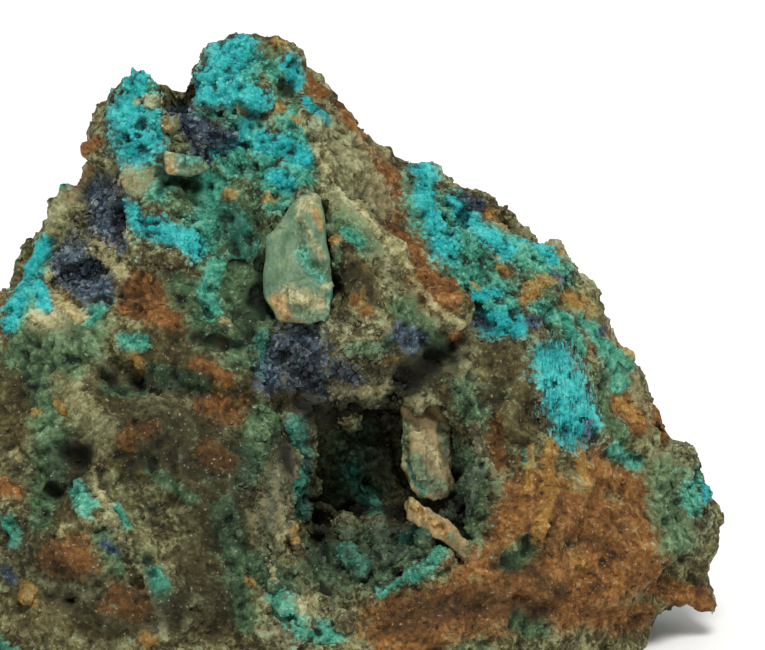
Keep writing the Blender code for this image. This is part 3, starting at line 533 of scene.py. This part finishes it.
def wildGrowth(point, mineral):
    # growths on the sides that the picture doesn't show
    size, level = wildGrowths[mineral]
    offset = Vector((len(mineral) * 7.3, ord(mineral[0]) * 3.1, ord(mineral[-1]) * 1.7))
    strength = noise.fractal(point / (size * mm) + offset, 0.7, 2, 3)
    return ease(strength, level - 0.1, level + 0.3)


def growMinerals(obj, tree, grown=growths):
    seats = {mineral: seatsOf(tree, strokes) for mineral, strokes in grown.items()}
    everywhere = treeOfPlaces([place for pairs in seats.values() for place, _ in pairs])
    squeezedPlaces = [squeezed(vert.co) for vert in obj.data.vertices]
    wild = [ease(everywhere.find(place)[2], *surface["reach"]) for place in squeezedPlaces]
    for mineral, pairs in seats.items():
        mineralTree = treeOfPlaces([place for place, _ in pairs])
        widest = max((width for _, width in pairs), default=0) * 1.6
        values = []
        for vert, place, away in zip(obj.data.vertices, squeezedPlaces, wild):
            most = 0
            for _, number, distance in mineralTree.find_range(place, widest):
                most = max(most, 1.2 - distance / pairs[number][1] * 0.7)
            most = min(1, most) * (1 - away)
            if away > 0:
                most = max(most, away * wildGrowth(vert.co, mineral))
            values.append(most)
        setAttribute(obj, mineral, values)


def pressReliefs(obj, tree, pressed=reliefs):
    places = treeOfPlaces([vert.co for vert in obj.data.vertices])
    moves = {}
    for (x, y), halfWidth, height in pressed.values():
        point, normal = seat(tree, x, y)
        if not point:
            continue
        radius = halfWidth / view["pixelsPerMm"] * mm
        for _, number, distance in places.find_range(point, radius):
            fall = (1 - (distance / radius) ** 2) ** 2
            moves[number] = moves.get(number, Vector()) + normal * height * fall * mm
    for number, move in moves.items():
        obj.data.vertices[number].co += move


def globular(point, size):     # a field of round swellings, 0 to 1
    distances, _ = noise.voronoi(point / (size * mm))
    return math.sqrt(max(0, 1 - distances[0] ** 2))


def chipped(point, size, tilt):     # flat broken faces, each tilted its own way
    scaled = point / (size * mm)
    _, middles = noise.voronoi(scaled)
    way = noise.noise_vector(middles[0] * 7.1)
    return (scaled - middles[0]).dot(way) * tilt


def roughen(obj, chips=1):
    # relief in layers: chipped rock, and globular and spongy copper minerals
    names = ("turquoise", "teal", "green", "azurite")
    masks = {name: attributeOf(obj, name) for name in names}
    moves, heights = [], []
    for number, vert in enumerate(obj.data.vertices):
        point = vert.co
        copper = max(masks["turquoise"][number], 0.9 * masks["teal"][number], 0.6 * masks["green"][number])
        coarse = fine = 0
        for size, height in surface["layers"]:
            coarse += height * noise.noise(point / (size * mm) + Vector((3, 8, 5)))
        for size, tilt in surface["chips"]:
            coarse += chips * (1 - 0.6 * copper) * chipped(point, size, tilt)
        for size, height in surface["grit"]:
            fine += height * noise.noise(point / (size * mm))
        size, height = surface["globules"]
        fine += copper * height * (globular(point, size) - 0.5)
        size, depth = surface["sponge"]
        hole = noise.noise(point / (size * mm) + Vector((11, 2, 7)))
        fine -= depth * (0.25 + 0.75 * copper) * ease(hole, 0.12, 0.5)
        fine += masks["azurite"][number] * chipped(point, *surface["crystals"])
        moves.append(vert.normal * (coarse + fine) * mm)
        heights.append(0.5 + 1.3 * fine + 0.4 * coarse)
    for vert, move in zip(obj.data.vertices, moves):
        vert.co += move
        vert.co.z = max(vert.co.z, 0)
    setAttribute(obj, "relief", heights)
    setAttribute(obj, "tone", [0.5] * len(heights))


def thinFarSide(obj):
    # fewer faces where the show side isn't turned to the viewer
    group = obj.vertex_groups.new(name="far")
    far = [vert.index for vert in obj.data.vertices if vert.normal.dot(backWay) > 0.1 or vert.co.z < mm]
    group.add(far, 1, "REPLACE")
    share = 1 - (1 - surface["farShare"]) * len(far) / len(obj.data.vertices)
    addModifier(obj, "DECIMATE", ratio=share, vertex_group="far", use_collapse_triangulate=True)
    applyModifiers(obj)
    obj.vertex_groups.clear()


def refineShownSide(obj):
    # a finer mesh where the show side is turned to the viewer
    bm = bmesh.new()
    bm.from_mesh(obj.data)
    for face in bm.faces:
        face.tag = face.normal.dot(backWay) < -0.05 and face.calc_center_median().z > mm
    edges = [edge for edge in bm.edges if any(face.tag for face in edge.link_faces)]
    bmesh.ops.subdivide_edges(bm, edges=edges, cuts=1, use_grid_fill=True)
    bmesh.ops.triangulate(bm, faces=bm.faces)
    bm.to_mesh(obj.data)
    bm.free()


def makeRock():
    bladeNodes = ("pale_blade", "pale_chip", "vug_blade", "cream_splinter")
    bm = copyOfNodes([name for name in frame["nodes"] if name not in bladeNodes])
    rock = makeObject("rockSurface", bm)
    remesh(rock, surface["voxel"], surface["skin"], smooth=1)
    thinFarSide(rock)
    refineShownSide(rock)
    tree = treeOf(rock)
    pressReliefs(rock, tree)
    growMinerals(rock, treeOf(rock))
    roughen(rock)
    shadeSmooth(rock)
    report(rock)
    return rock


# Grains scattered over a surface by geometry nodes, and made one mesh

def scatter(name, ground, kind, seed, along=None):
    build, count, spacing, low, high, sink = grainings[kind]
    grains = grainStock(build, count)
    group = bpy.data.node_groups.new(name, "GeometryNodeTree")
    for way in ("INPUT", "OUTPUT"):
        group.interface.new_socket("Geometry", in_out=way, socket_type="NodeSocketGeometry")
    tree = Tree(group)

    def randomValue(least, most, step, valueType="FLOAT"):
        vector = valueType == "FLOAT_VECTOR"
        keys = (0, 1) if vector else (2, 3)
        return tree.node(
            "FunctionNodeRandomValue", {"data_type": valueType},
            {keys[0]: least, keys[1]: most, "Seed": seed + step}, out=0 if vector else 1)

    given = tree.node("NodeGroupInput")
    values = {"Mesh": given, "Distance Min": spacing * mm, "Seed": seed}
    values["Density Max"] = 1.8 / (spacing * mm) ** 2     # enough tries to fill the spacing
    points = tree.node("GeometryNodeDistributePointsOnFaces", {"distribute_method": "POISSON"}, values)
    sunk = tree.node(
        "ShaderNodeVectorMath", {"operation": "SCALE"},
        {0: tree.output(points, "Normal"), "Scale": -sink * mm})
    placed = tree.node("GeometryNodeSetPosition", {}, {"Geometry": points, "Offset": sunk})
    if along:
        most = (fibreLean, fibreLean, math.pi)
        tilt = randomValue(tuple(-angle for angle in most), most, 1, "FLOAT_VECTOR")
        turn = tree.node("FunctionNodeEulerToRotation", {}, {0: tilt})
        lengthways = tree.node("FunctionNodeAlignRotationToVector", {"axis": "Z"}, {"Vector": along})
        turn = tree.node(
            "FunctionNodeRotateRotation", {"rotation_space": "LOCAL"},
            {"Rotation": lengthways, "Rotate By": turn})
    else:
        whole = (math.tau, math.tau, math.tau)
        turn = tree.node(
            "FunctionNodeEulerToRotation", {}, {0: randomValue((0, 0, 0), whole, 1, "FLOAT_VECTOR")})
    spread = randomValue(0.0, 1.0, 2)
    stock = tree.node(
        "GeometryNodeCollectionInfo", {},
        {"Collection": grains, "Separate Children": True, "Reset Children": True})
    instances = tree.node("GeometryNodeInstanceOnPoints", {}, {
        "Points": placed, "Instance": stock, "Pick Instance": True,
        "Rotation": turn, "Scale": spread * spread * (high - low) + low})
    toned = tree.node(
        "GeometryNodeStoreNamedAttribute", {"data_type": "FLOAT", "domain": "INSTANCE"},
        {"Geometry": instances, "Name": "tone", "Value": randomValue(0.0, 1.0, 3)})
    real = tree.node("GeometryNodeRealizeInstances", {}, {"Geometry": toned})
    tree.node("NodeGroupOutput", {}, {0: real})
    obj = linked(name, ground.data.copy())
    addModifier(obj, "NODES", node_group=group)
    applyModifiers(obj)
    bpy.data.node_groups.remove(group)
    for grain in list(grains.objects):
        bpy.data.objects.remove(grain)
    bpy.data.collections.remove(grains)
    for vert in obj.data.vertices:
        vert.co.z = max(vert.co.z, 0)
    report(obj)
    return obj


def grainStock(build, count):
    # a few different grains, 1 mm across, for the scatter to pick from
    stock = bpy.data.collections.new(build.__name__)
    for number in range(count):
        obj = makeObject(f"{build.__name__}{number}", build(random.Random(number)))
        bpy.context.scene.collection.objects.unlink(obj)
        stock.objects.link(obj)
    return stock


def crumb(rng):
    bm = bmesh.new()
    bmesh.ops.create_icosphere(bm, subdivisions=1, radius=0.5 * mm)
    stretch = Vector([rng.uniform(0.65, 1.25) for _ in range(3)])
    for vert in bm.verts:
        vert.co = vert.co * stretch * rng.uniform(0.75, 1.25)
    return bm


def globule(rng):
    bm = bmesh.new()
    bmesh.ops.create_icosphere(bm, subdivisions=1, radius=0.5 * mm)
    for vert in bm.verts:
        vert.co *= rng.uniform(0.88, 1.12)
    for face in bm.faces:
        face.smooth = True
    return bm


def shard(rng):
    # a flat-faced crystal: a leaning box with a bevelled end
    bm = bmesh.new()
    bmesh.ops.create_cube(bm, size=1 * mm)
    size = Vector((rng.uniform(0.5, 0.9), rng.uniform(0.3, 0.6), rng.uniform(0.8, 1.2)))
    shear = rng.uniform(-0.35, 0.35)
    for vert in bm.verts:
        vert.co = vert.co * size
        vert.co.x += vert.co.z * shear
    edges = [edge for edge in bm.edges if all(vert.co.z > 0 for vert in edge.verts)][:2]
    bmesh.ops.bevel(
        bm, geom=edges, offset=0.18 * mm, affect="EDGES", segments=1, profile=0.5, material=-1)
    return bm


def fibre(rng):
    bm = bmesh.new()
    depth = rng.uniform(0.8, 1.3) * mm
    bmesh.ops.create_cone(
        bm, cap_ends=True, segments=5, radius1=0.12 * mm, radius2=0.07 * mm, depth=depth)
    for vert in bm.verts:
        vert.co.x += 0.15 * vert.co.z * rng.uniform(-1, 1)
    return bm


fibreLean = 0.13             # radians that a fibre may lean from the others
grainings = {                # grain, how many kinds of it; in mm: spacing, smallest, largest, depth sunk
    "fibres": (fibre, 4, 0.12, 0.25, 0.7, 0.03),
    "globules": (globule, 4, 0.17, 0.12, 0.36, 0.04),
    "crystals": (shard, 5, 0.2, 0.15, 0.48, 0.0),
    "druse": (crumb, 5, 0.22, 0.12, 0.4, 0.03),
    "hollow": (crumb, 5, 0.19, 0.1, 0.34, 0.03),
    "rock": (crumb, 5, 0.46, 0.15, 0.42, 0.05),
}


def bedOf(name, node, ground, reach):
    # the part of the fine surface that lies on one node's solid
    tree = treeOf(frame["nodes"][node])
    bm = bmesh.new()
    bm.from_mesh(ground.data)
    centres = [(face, face.calc_center_median()) for face in bm.faces]
    away = [face for face, centre in centres if tree.find_nearest(centre, reach * mm)[0] is None]
    bmesh.ops.delete(bm, geom=away, context="FACES")
    return makeObject(name, bm)


# Finishes

palette = {                  # dark, middle and light of each mineral
    "olive": ((56, 55, 34), (112, 112, 74), (166, 164, 122)),
    "rust": ((54, 33, 15), (114, 74, 33), (170, 118, 62)),
    "brown": ((35, 31, 16), (68, 61, 33), (110, 99, 62)),
    "green": ((24, 42, 27), (62, 92, 62), (122, 150, 108)),
    "teal": ((16, 66, 54), (46, 138, 114), (128, 194, 164)),
    "ochre": ((104, 72, 26), (158, 118, 54), (196, 162, 96)),
    "turquoise": ((6, 94, 94), (16, 156, 156), (82, 200, 194)),
    "azurite": ((10, 15, 22), (44, 60, 76), (116, 134, 146)),
    "cream": ((112, 104, 64), (160, 152, 104), (206, 200, 158)),
    "dust": ((92, 94, 62), (142, 142, 104), (190, 190, 150)),
}


def oreFinish(name, lifts=None, specular=0.3, shine=0.0):
    finish = Finish(name, **{"Specular IOR Level": specular})
    broad = finish.noise(2.6, detail=4, roughness=0.6)
    middle = finish.noise(0.8, detail=5, roughness=0.65, shift=9)
    fine = finish.noise(0.22, detail=4, roughness=0.7, shift=4)
    grainEdge, grainTone = finish.cells(0.24)
    tinyEdge, tinyTone = finish.cells(0.09)
    tone = finish.attribute("tone")
    relief = finish.attribute("relief")
    speckle = (fine - 0.5) * 0.9 + (grainTone - 0.5) * 0.34 + (tone - 0.5) * 0.3
    mottle = (broad - 0.5) * 0.8 + (middle - 0.5) * 1.2
    # each mineral's tone: random tone from noise, cells and grains, and painted shade and light from the
    # relief, darker in low places and lighter on high ones
    shade = (
        (broad - 0.5) * 0.7 + (fine - 0.5) * 1.1 + (middle - 0.5) * 0.9 + (grainTone - 0.5) * 0.24
        + (tone - 0.5) * 0.3 + (relief - 0.5) * 0.6 + 0.5)

    def paint(mineral):
        low, centre, high = (srgb(*colour) for colour in palette[mineral])
        return finish.ramp(shade, (0.1, low), (0.5, centre), (0.95, high))

    def mask(mineral, side, most):
        grown = finish.attribute(mineral) + mottle * side + speckle + (lifts or {}).get(mineral, 0)
        return finish.step(grown, 0.24, 0.86) * most

    colour = finish.mix(finish.step(mottle + speckle, -0.3, 0.35), paint("brown"), paint("olive"))
    sides = {              # how the mottle moves each mineral's edge, and its fullest share
        "brown": (-1, 0.95), "olive": (0.7, 0.85), "rust": (-0.7, 0.94), "dust": (0.8, 0.6),
        "green": (1, 0.88), "teal": (0.8, 0.9), "ochre": (-0.8, 0.72), "turquoise": (0.6, 0.95),
        "azurite": (-0.6, 0.95), "cream": (0.5, 0.75)}
    for mineral, (side, most) in sides.items():
        colour = finish.mix(mask(mineral, side, most), colour, paint(mineral))
    # painted shadow: along the near-black strokes the colour falls to a tenth, and glints and gloss are
    # left out there
    deepShade = finish.step(finish.attribute("dark") + mottle + speckle * 0.9, 0.3, 1.05)
    # painted shade: the broad dark wash pulls the colour towards a dark olive
    gloom = finish.step(finish.attribute("gloom") + mottle * 0.5, 0.1, 1.0) * 0.58
    # painted shade: the low places of the relief are darkened towards a dark olive
    reliefShade = finish.step(relief, 0.46, 0.16) * 0.7
    colour = finish.mix(gloom, colour, (*srgb(22, 27, 17), 1))
    colour = finish.mix(reliefShade, colour, (*srgb(20, 25, 15), 1))
    shadow = finish.node("ShaderNodeVectorMath", {"operation": "SCALE"}, {0: colour, "Scale": 0.1})
    colour = finish.mix(deepShade * 0.97, colour, shadow)
    glint = finish.step(tinyTone, 0.94, 0.98) * finish.step(fine, 0.48, 0.6) * (1 - deepShade)
    # painted highlight: pale specks mixed into the colour where the glints are
    colour = finish.mix(glint * 0.25, colour, (*srgb(226, 220, 196), 1))
    finish.feed("Base Color", colour)
    gloss = (mask("azurite", -0.6, 0.25) + glint * 0.4 + shine) * (1 - deepShade)
    finish.feed("Roughness", 0.78 - gloss + deepShade * 0.2)
    finish.bump(fine * 0.7 + grainEdge * 0.35 + tinyEdge * 0.2, 0.12, 0.7)
    return finish.material


def waxFinish(name, body, shade, tip, roughness=0.35):
    # a waxy broken crystal: body, stained parts and paler patches
    finish = Finish(name, **{
        "Specular IOR Level": 0.5, "Subsurface Weight": 0.25,
        "Subsurface Radius": (1, 1, 0.8), "Subsurface Scale": 0.4 * mm})
    broad = finish.noise(1.2, detail=4)
    fine = finish.noise(0.2, detail=5, roughness=0.7, stretch=(1, 1, 0.5))
    edge, cellTone = finish.cells(0.16)
    colour = finish.ramp(
        (broad - 0.5) * 1.2 + (fine - 0.5) * 1.1 + 0.5,
        (0.2, srgb(*shade)), (0.55, srgb(*body)), (0.9, srgb(*tip)))
    for mineral in ("cream", "ochre", "green", "teal", "brown"):
        low, centre, high = (srgb(*c) for c in palette[mineral])
        stain = finish.ramp(
            (fine - 0.5) * 1.3 + (cellTone - 0.5) * 0.4 + 0.5, (0.2, low), (0.5, centre), (0.85, high))
        grown = finish.attribute(mineral) + (broad - 0.5) * 1.0 + (fine - 0.5) * 1.0
        colour = finish.mix(finish.step(grown, 0.2, 1.0) * 0.85, colour, stain)
    finish.feed("Base Color", colour)
    finish.feed("Roughness", roughness + (fine - 0.5) * 0.4 + finish.attribute("teal") * 0.3)
    finish.bump(fine + edge * 0.3, 0.09, 0.8)
    return finish.material


# Blades and splinters: fine copies of their solids, pressed and stained

blades = {
    "pale_blade": {
        "voxel": 0.13, "grow": 0.22, "smooth": 26, "slot": "pale_crystal", "lumps": (0.9, 0.2),
        "press": {"groove": ((316, 238), 9, -0.3), "pool": ((314, 266), 13, -0.5),
                  "lower": ((302, 302), 15, 0.3), "chip": ((328, 286), 5, 0.3),
                  "shoulder": ((284, 232), 13, 0.25), "rib": ((306, 226), 6, 0.25),
                  "rib low": ((318, 250), 5, 0.2)},
        "stains": {
            "cream": [(8, 304,206, 314,200), (4, 298,216, 310,236, 322,258), (13, 290,296, 316,304),
                      (5, 324,286, 332,287)],
            "ochre": [(8, 276,300, 286,316), (4, 316,212, 320,228)],
            "green": [(8, 300,226, 304,250), (8, 304,314, 326,318), (7, 328,236, 334,262),
                      (10, 320,266, 328,276)],
            "teal": [(7, 302,254, 308,266, 320,278), (5, 330,292, 332,306), (4, 330,248, 332,262)],
            "brown": [(5, 288,320, 312,326), (2, 268,286, 270,292)],
        },
    },
    "pale_chip": {
        "voxel": 0.08, "grow": 0.16, "smooth": 14, "slot": "pale_crystal", "lumps": (0.6, 0.06),
        "press": {"top": ((188, 152), 9, -0.25)},
        "stains": {
            "cream": [(8, 168,158, 172,168)], "ochre": [(4, 166,166, 170,172)],
            "green": [(9, 186,164, 202,162)], "teal": [(6, 184,158, 206,157)],
            "brown": [(2, 190,174, 196,172)],
        },
    },
    "vug_blade": {
        "voxel": 0.1, "grow": 0.12, "smooth": 8, "slot": "cream_crystal", "lumps": (0.45, 0.3),
        "press": {"slot": ((408, 442), 6, -0.5), "slot low": ((408, 462), 6, -0.4),
                  "foot": ((426, 480), 12, 0.2), "right": ((444, 430), 8, -0.4)},
        "stains": {
            "cream": [(6, 414,428, 430,450, 442,468), (3, 398,446, 402,480)],
            "ochre": [(3, 398,442, 400,454)],
            "green": [(8, 402,424, 404,450), (11, 416,462, 428,482, 442,490), (8, 444,430, 448,456)],
            "teal": [(4, 408,462, 414,480, 424,492)],
            "brown": [(4, 406,434, 408,446), (6, 440,494, 450,496), (5, 448,424, 450,480)],
        },
    },
    "cream_splinter": {
        "voxel": 0.07, "grow": 0.2, "smooth": 3, "slot": "cream_crystal", "lumps": (0.35, 0.14),
        "press": {"step": ((420, 512), 4, -0.25), "step middle": ((430, 520), 4, -0.25),
                  "step low": ((440, 528), 4, -0.25), "ridge": ((415, 507), 5, 0.15),
                  "ridge middle": ((425, 516), 4, 0.15), "ridge low": ((435, 524), 4, 0.15)},
        "stains": {
            "cream": [(6, 414,506, 430,518)], "ochre": [(6, 412,506, 446,532)],
            "green": [(2, 410,504, 412,508)], "teal": [(2, 450,534, 452,536)],
            "brown": [(2, 424,514, 428,512)],
        },
    },
}


bladeGrit = {"coarse": 0.3, "fine": 0.15, "height": 0.1}     # mm, where a blade is stained


def makeBlade(node, values):
    blade = makeObject(node + "_piece", copyOfNodes([node]))
    addModifier(blade, "DISPLACE", strength=values["grow"] * mm, mid_level=0)
    remesh(blade, values["voxel"], smooth=values["smooth"])
    tree = treeOf(blade)
    pressReliefs(blade, tree, values["press"])
    growMinerals(blade, tree, values["stains"])
    stained = attributeOf(blade, "cream") + attributeOf(blade, "green") + attributeOf(blade, "teal")
    size, height = values["lumps"]
    coarse, fine, gritHeight = bladeGrit.values()
    moves = []
    for vert, rough in zip(blade.data.vertices, stained):
        along = faceOf(vert.co)
        lump = noise.noise(Vector((along.x / size, along.y / (size * 2), along.z / size)))
        grit = noise.noise(vert.co / (coarse * mm)) + 0.5 * noise.noise(vert.co / (fine * mm))
        moves.append(vert.normal * (lump * height + grit * gritHeight * min(1, float(rough))) * mm)
    for vert, move in zip(blade.data.vertices, moves):
        vert.co += move
    shadeSmooth(blade)
    report(blade)
    return blade


def addPiece(obj, slot, material, *nodes):
    obj.data.materials.clear()
    obj.data.materials.append(material)
    obj.data.polygons.foreach_set("material_index", [0] * len(obj.data.polygons))
    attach(obj, "root")
    if nodes:
        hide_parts(*nodes)


# The hollow's crystals: lumps and rods between two pixels, their half widths and lift in mm

hollowForms = {
    "pillar": ((296, 424), (304, 512), 0.32, 0.42, 0.2),
    "pillar top": ((290, 416), (304, 428), 0.4, 0.3, 0.1),
    "column": ((282, 462), (268, 500), 0.85, 0.8, 0.3),
    "column middle": ((268, 500), (276, 548), 0.8, 0.55, 0.3),
    "column foot": ((272, 560), (274, 584), 0.4, 0.4, 0.2),
    "yellow lump": ((288, 528), (294, 546), 0.45, 0.35, 0.3),
    "rod": ((352, 470), (376, 508), 0.24, 0.42, 1.6),
    "back lump": ((360, 454), (366, 462), 0.8, 0.7, 1.0),
    "back lump right": ((380, 456), (386, 476), 0.7, 0.8, 1.0),
    "back lump low": ((388, 486), (394, 498), 0.7, 0.7, 0.8),
    "left corner": ((308, 428), (307, 446), 0.5, 0.42, 0.1),
    "left edge": ((308, 466), (309, 486), 0.35, 0.5, 0.1),
    "roof lump": ((322, 418), (332, 422), 0.5, 0.4, 0.1),
    "roof lump middle": ((348, 420), (354, 426), 0.3, 0.36, 0.1),
    "roof lump right": ((372, 420), (382, 426), 0.4, 0.5, 0.1),
    "floor lump": ((354, 512), (362, 518), 0.5, 0.5, 0.2),
    "floor lump right": ((390, 512), (398, 516), 0.5, 0.6, 0.2),
    "splinter's foot": ((462, 545), (470, 552), 0.4, 0.5, 0.6),
    "blade's crust": ((334, 240), (338, 262), 0.24, 0.3, 0.1),
    "blade's crust low": ((338, 268), (338, 286), 0.25, 0.2, 0.1),
    "roof left": ((304, 410), (322, 420), 0.4, 0.3, 0.1),
    "roof right": ((384, 414), (398, 420), 0.3, 0.4, 0.1),
    "left wall": ((306, 440), (308, 470), 0.35, 0.3, 0.1),
    "right wall": ((474, 430), (480, 470), 0.4, 0.5, 0.0),
    "right wall low": ((470, 480), (466, 520), 0.5, 0.4, 0.0),
    "stick": ((396, 416), (424, 396), 0.16, 0.12, 0.3),
    "stick across": ((394, 398), (412, 412), 0.14, 0.12, 0.3),
    "stick low": ((400, 424), (420, 410), 0.14, 0.12, 0.2),
    "nodule": ((340, 520), (346, 536), 0.6, 0.7, 0.1),
    "nodule right": ((372, 524), (384, 540), 0.7, 0.8, 0.1),
    "nodule bright": ((346, 556), (362, 572), 0.5, 0.6, 0.2),
    "nodule foot": ((386, 556), (402, 552), 0.6, 0.5, 0.1),
    "nodule far": ((418, 528), (426, 540), 0.5, 0.6, 0.0),
    "rim": ((424, 572), (448, 556), 0.4, 0.4, 0.1),
    "rim low": ((376, 588), (408, 584), 0.35, 0.4, 0.1),
    "left fringe": ((322, 560), (326, 590), 0.3, 0.35, 0.2),
    "foot lump": ((286, 604), (300, 614), 0.5, 0.6, 0.1),
    "foot lump right": ((330, 606), (344, 622), 0.4, 0.5, 0.1),
    "foot lump low": ((268, 628), (290, 636), 0.5, 0.45, 0.1),
    "hanging": ((318, 416), (330, 424), 0.3, 0.24, 0.1),
}


hollowShape = {
    "overlap": 1.6,          # steps for each half width of a form's length
    "spread": (0.7, 1.15),   # share of the half width that each ball may have
    "jitter": 0.2,           # share of it that each ball may be off the line
    "voxel": 0.16,           # mm
    "chips": 0.3,
}


def makeHollowForms(tree):
    rng = random.Random(3)
    jitterMost = hollowShape["jitter"]
    bm = bmesh.new()
    for start, end, radiusStart, radiusEnd, lift in hollowForms.values():
        first, _ = seat(tree, *start)
        last, _ = seat(tree, *end)
        if not first or not last:
            continue
        length = (last - first).length / mm
        count = max(2, round(length / min(radiusStart, radiusEnd) * hollowShape["overlap"]))
        for number in range(count + 1):
            share = number / count
            radius = radiusStart + (radiusEnd - radiusStart) * share
            radius *= rng.uniform(*hollowShape["spread"])
            jitter = Vector([rng.uniform(-jitterMost, jitterMost) for _ in range(3)]) * radius
            place = first.lerp(last, share) - backWay * lift * mm + jitter * mm
            bmesh.ops.create_icosphere(
                bm, subdivisions=2, radius=radius * mm, matrix=Matrix.Translation(place))
    forms = makeObject("hollowForms", bm)
    remesh(forms, hollowShape["voxel"], smooth=3)
    growMinerals(forms, treeOf(forms))
    roughen(forms, hollowShape["chips"])
    shadeSmooth(forms)
    report(forms)
    return forms


ore = oreFinish("rockOre", specular=0.2)
lavendulanFinish = oreFinish("lavendulanCrust", {"turquoise": 0.16, "teal": 0.1}, 0.4, 0.15)
azuriteFinish = oreFinish("azuriteCrystals", {"azurite": 0.22, "cream": 0.1}, 0.5, 0.2)
druseFinish = oreFinish("malachiteDruse", {"green": 0.2}, 0.4, 0.15)
paleFinish = waxFinish("paleCrystal", (98, 128, 94), (68, 100, 76), (154, 158, 108))
creamFinish = waxFinish("creamCrystal", (146, 126, 82), (98, 92, 56), (190, 164, 112), 0.5)

crusts = {                   # by a node's name or its start: grains, reach of the bed in mm, slot, finish
    "lavendulan_right_face": ("fibres", 0.45, "lavendulan", lavendulanFinish),
    "lavendulan": ("globules", 0.45, "lavendulan", lavendulanFinish),
    "azurite": ("crystals", 0.45, "azurite", azuriteFinish),
    "vug_crust": ("druse", 0.4, "malachite", druseFinish),
}

rock = makeRock()
addPiece(rock, "rock", ore, "rock")

forms = makeHollowForms(treeOf(rock))
addPiece(forms, "malachite", druseFinish)
addPiece(scatter("hollowForms_grains", forms, "hollow", 3), "malachite", druseFinish)

for number, node in enumerate(sorted(frame["nodes"])):
    start = next((start for start in crusts if node.startswith(start)), None)
    if start:
        kind, reach, slot, finish = crusts[start]
        bed = bedOf(node + "_bed", node, rock, reach)
        along = tuple(upWay) if kind == "fibres" else None
        addPiece(scatter(f"{node}_{kind}", bed, kind, 10 + number, along), slot, finish, node)
        bpy.data.objects.remove(bed)

for node, values in blades.items():
    finish = paleFinish if values["slot"] == "pale_crystal" else creamFinish
    addPiece(makeBlade(node, values), values["slot"], finish, node)

addPiece(scatter("rockGrains", rock, "rock", 5), "rock", ore)

# Floor, light and camera

studio = {
    "floor": 2.0,            # metres
    "key": ((0.12, -0.55, 1.0), 2.3, 25),   # from where, strength, degrees across
    "world": 0.58,
}

bm = bmesh.new()
bmesh.ops.create_grid(bm, x_segments=1, y_segments=1, size=studio["floor"] / 2)
floor = makeObject("floor", bm)
floorFinish = bpy.data.materials.new("floorPaint")
floorFinish.use_nodes = True
floorPaint = floorFinish.node_tree.nodes["Principled BSDF"].inputs
floorPaint["Base Color"].default_value = (0.95, 0.95, 0.94, 1)
floorPaint["Roughness"].default_value = 0.9
floor.data.materials.append(floorFinish)

way, strength, across = studio["key"]
sun = bpy.data.lights.new("key", "SUN")
sun.energy, sun.angle = strength, math.radians(across)
linked("key", sun).rotation_euler = Vector(way).to_track_quat("Z", "Y").to_euler()

world = bpy.data.worlds.new("studio")
world.use_nodes = True
world.node_tree.nodes["Background"].inputs[0].default_value = (1, 1, 1, 1)
world.node_tree.nodes["Background"].inputs[1].default_value = studio["world"]
bpy.context.scene.world = world
bpy.context.scene.view_settings.view_transform = "Standard"

camera = bpy.data.cameras.new("camera")
camera.lens, camera.sensor_width = view["lens"], view["sensor"]
camera.clip_start, camera.clip_end = 0.01, 5
cameraObject = linked("camera", camera)
cameraObject.location = cameraPlace
cameraObject.rotation_euler = backWay.to_track_quat("-Z", "Y").to_euler()
bpy.context.scene.camera = cameraObject
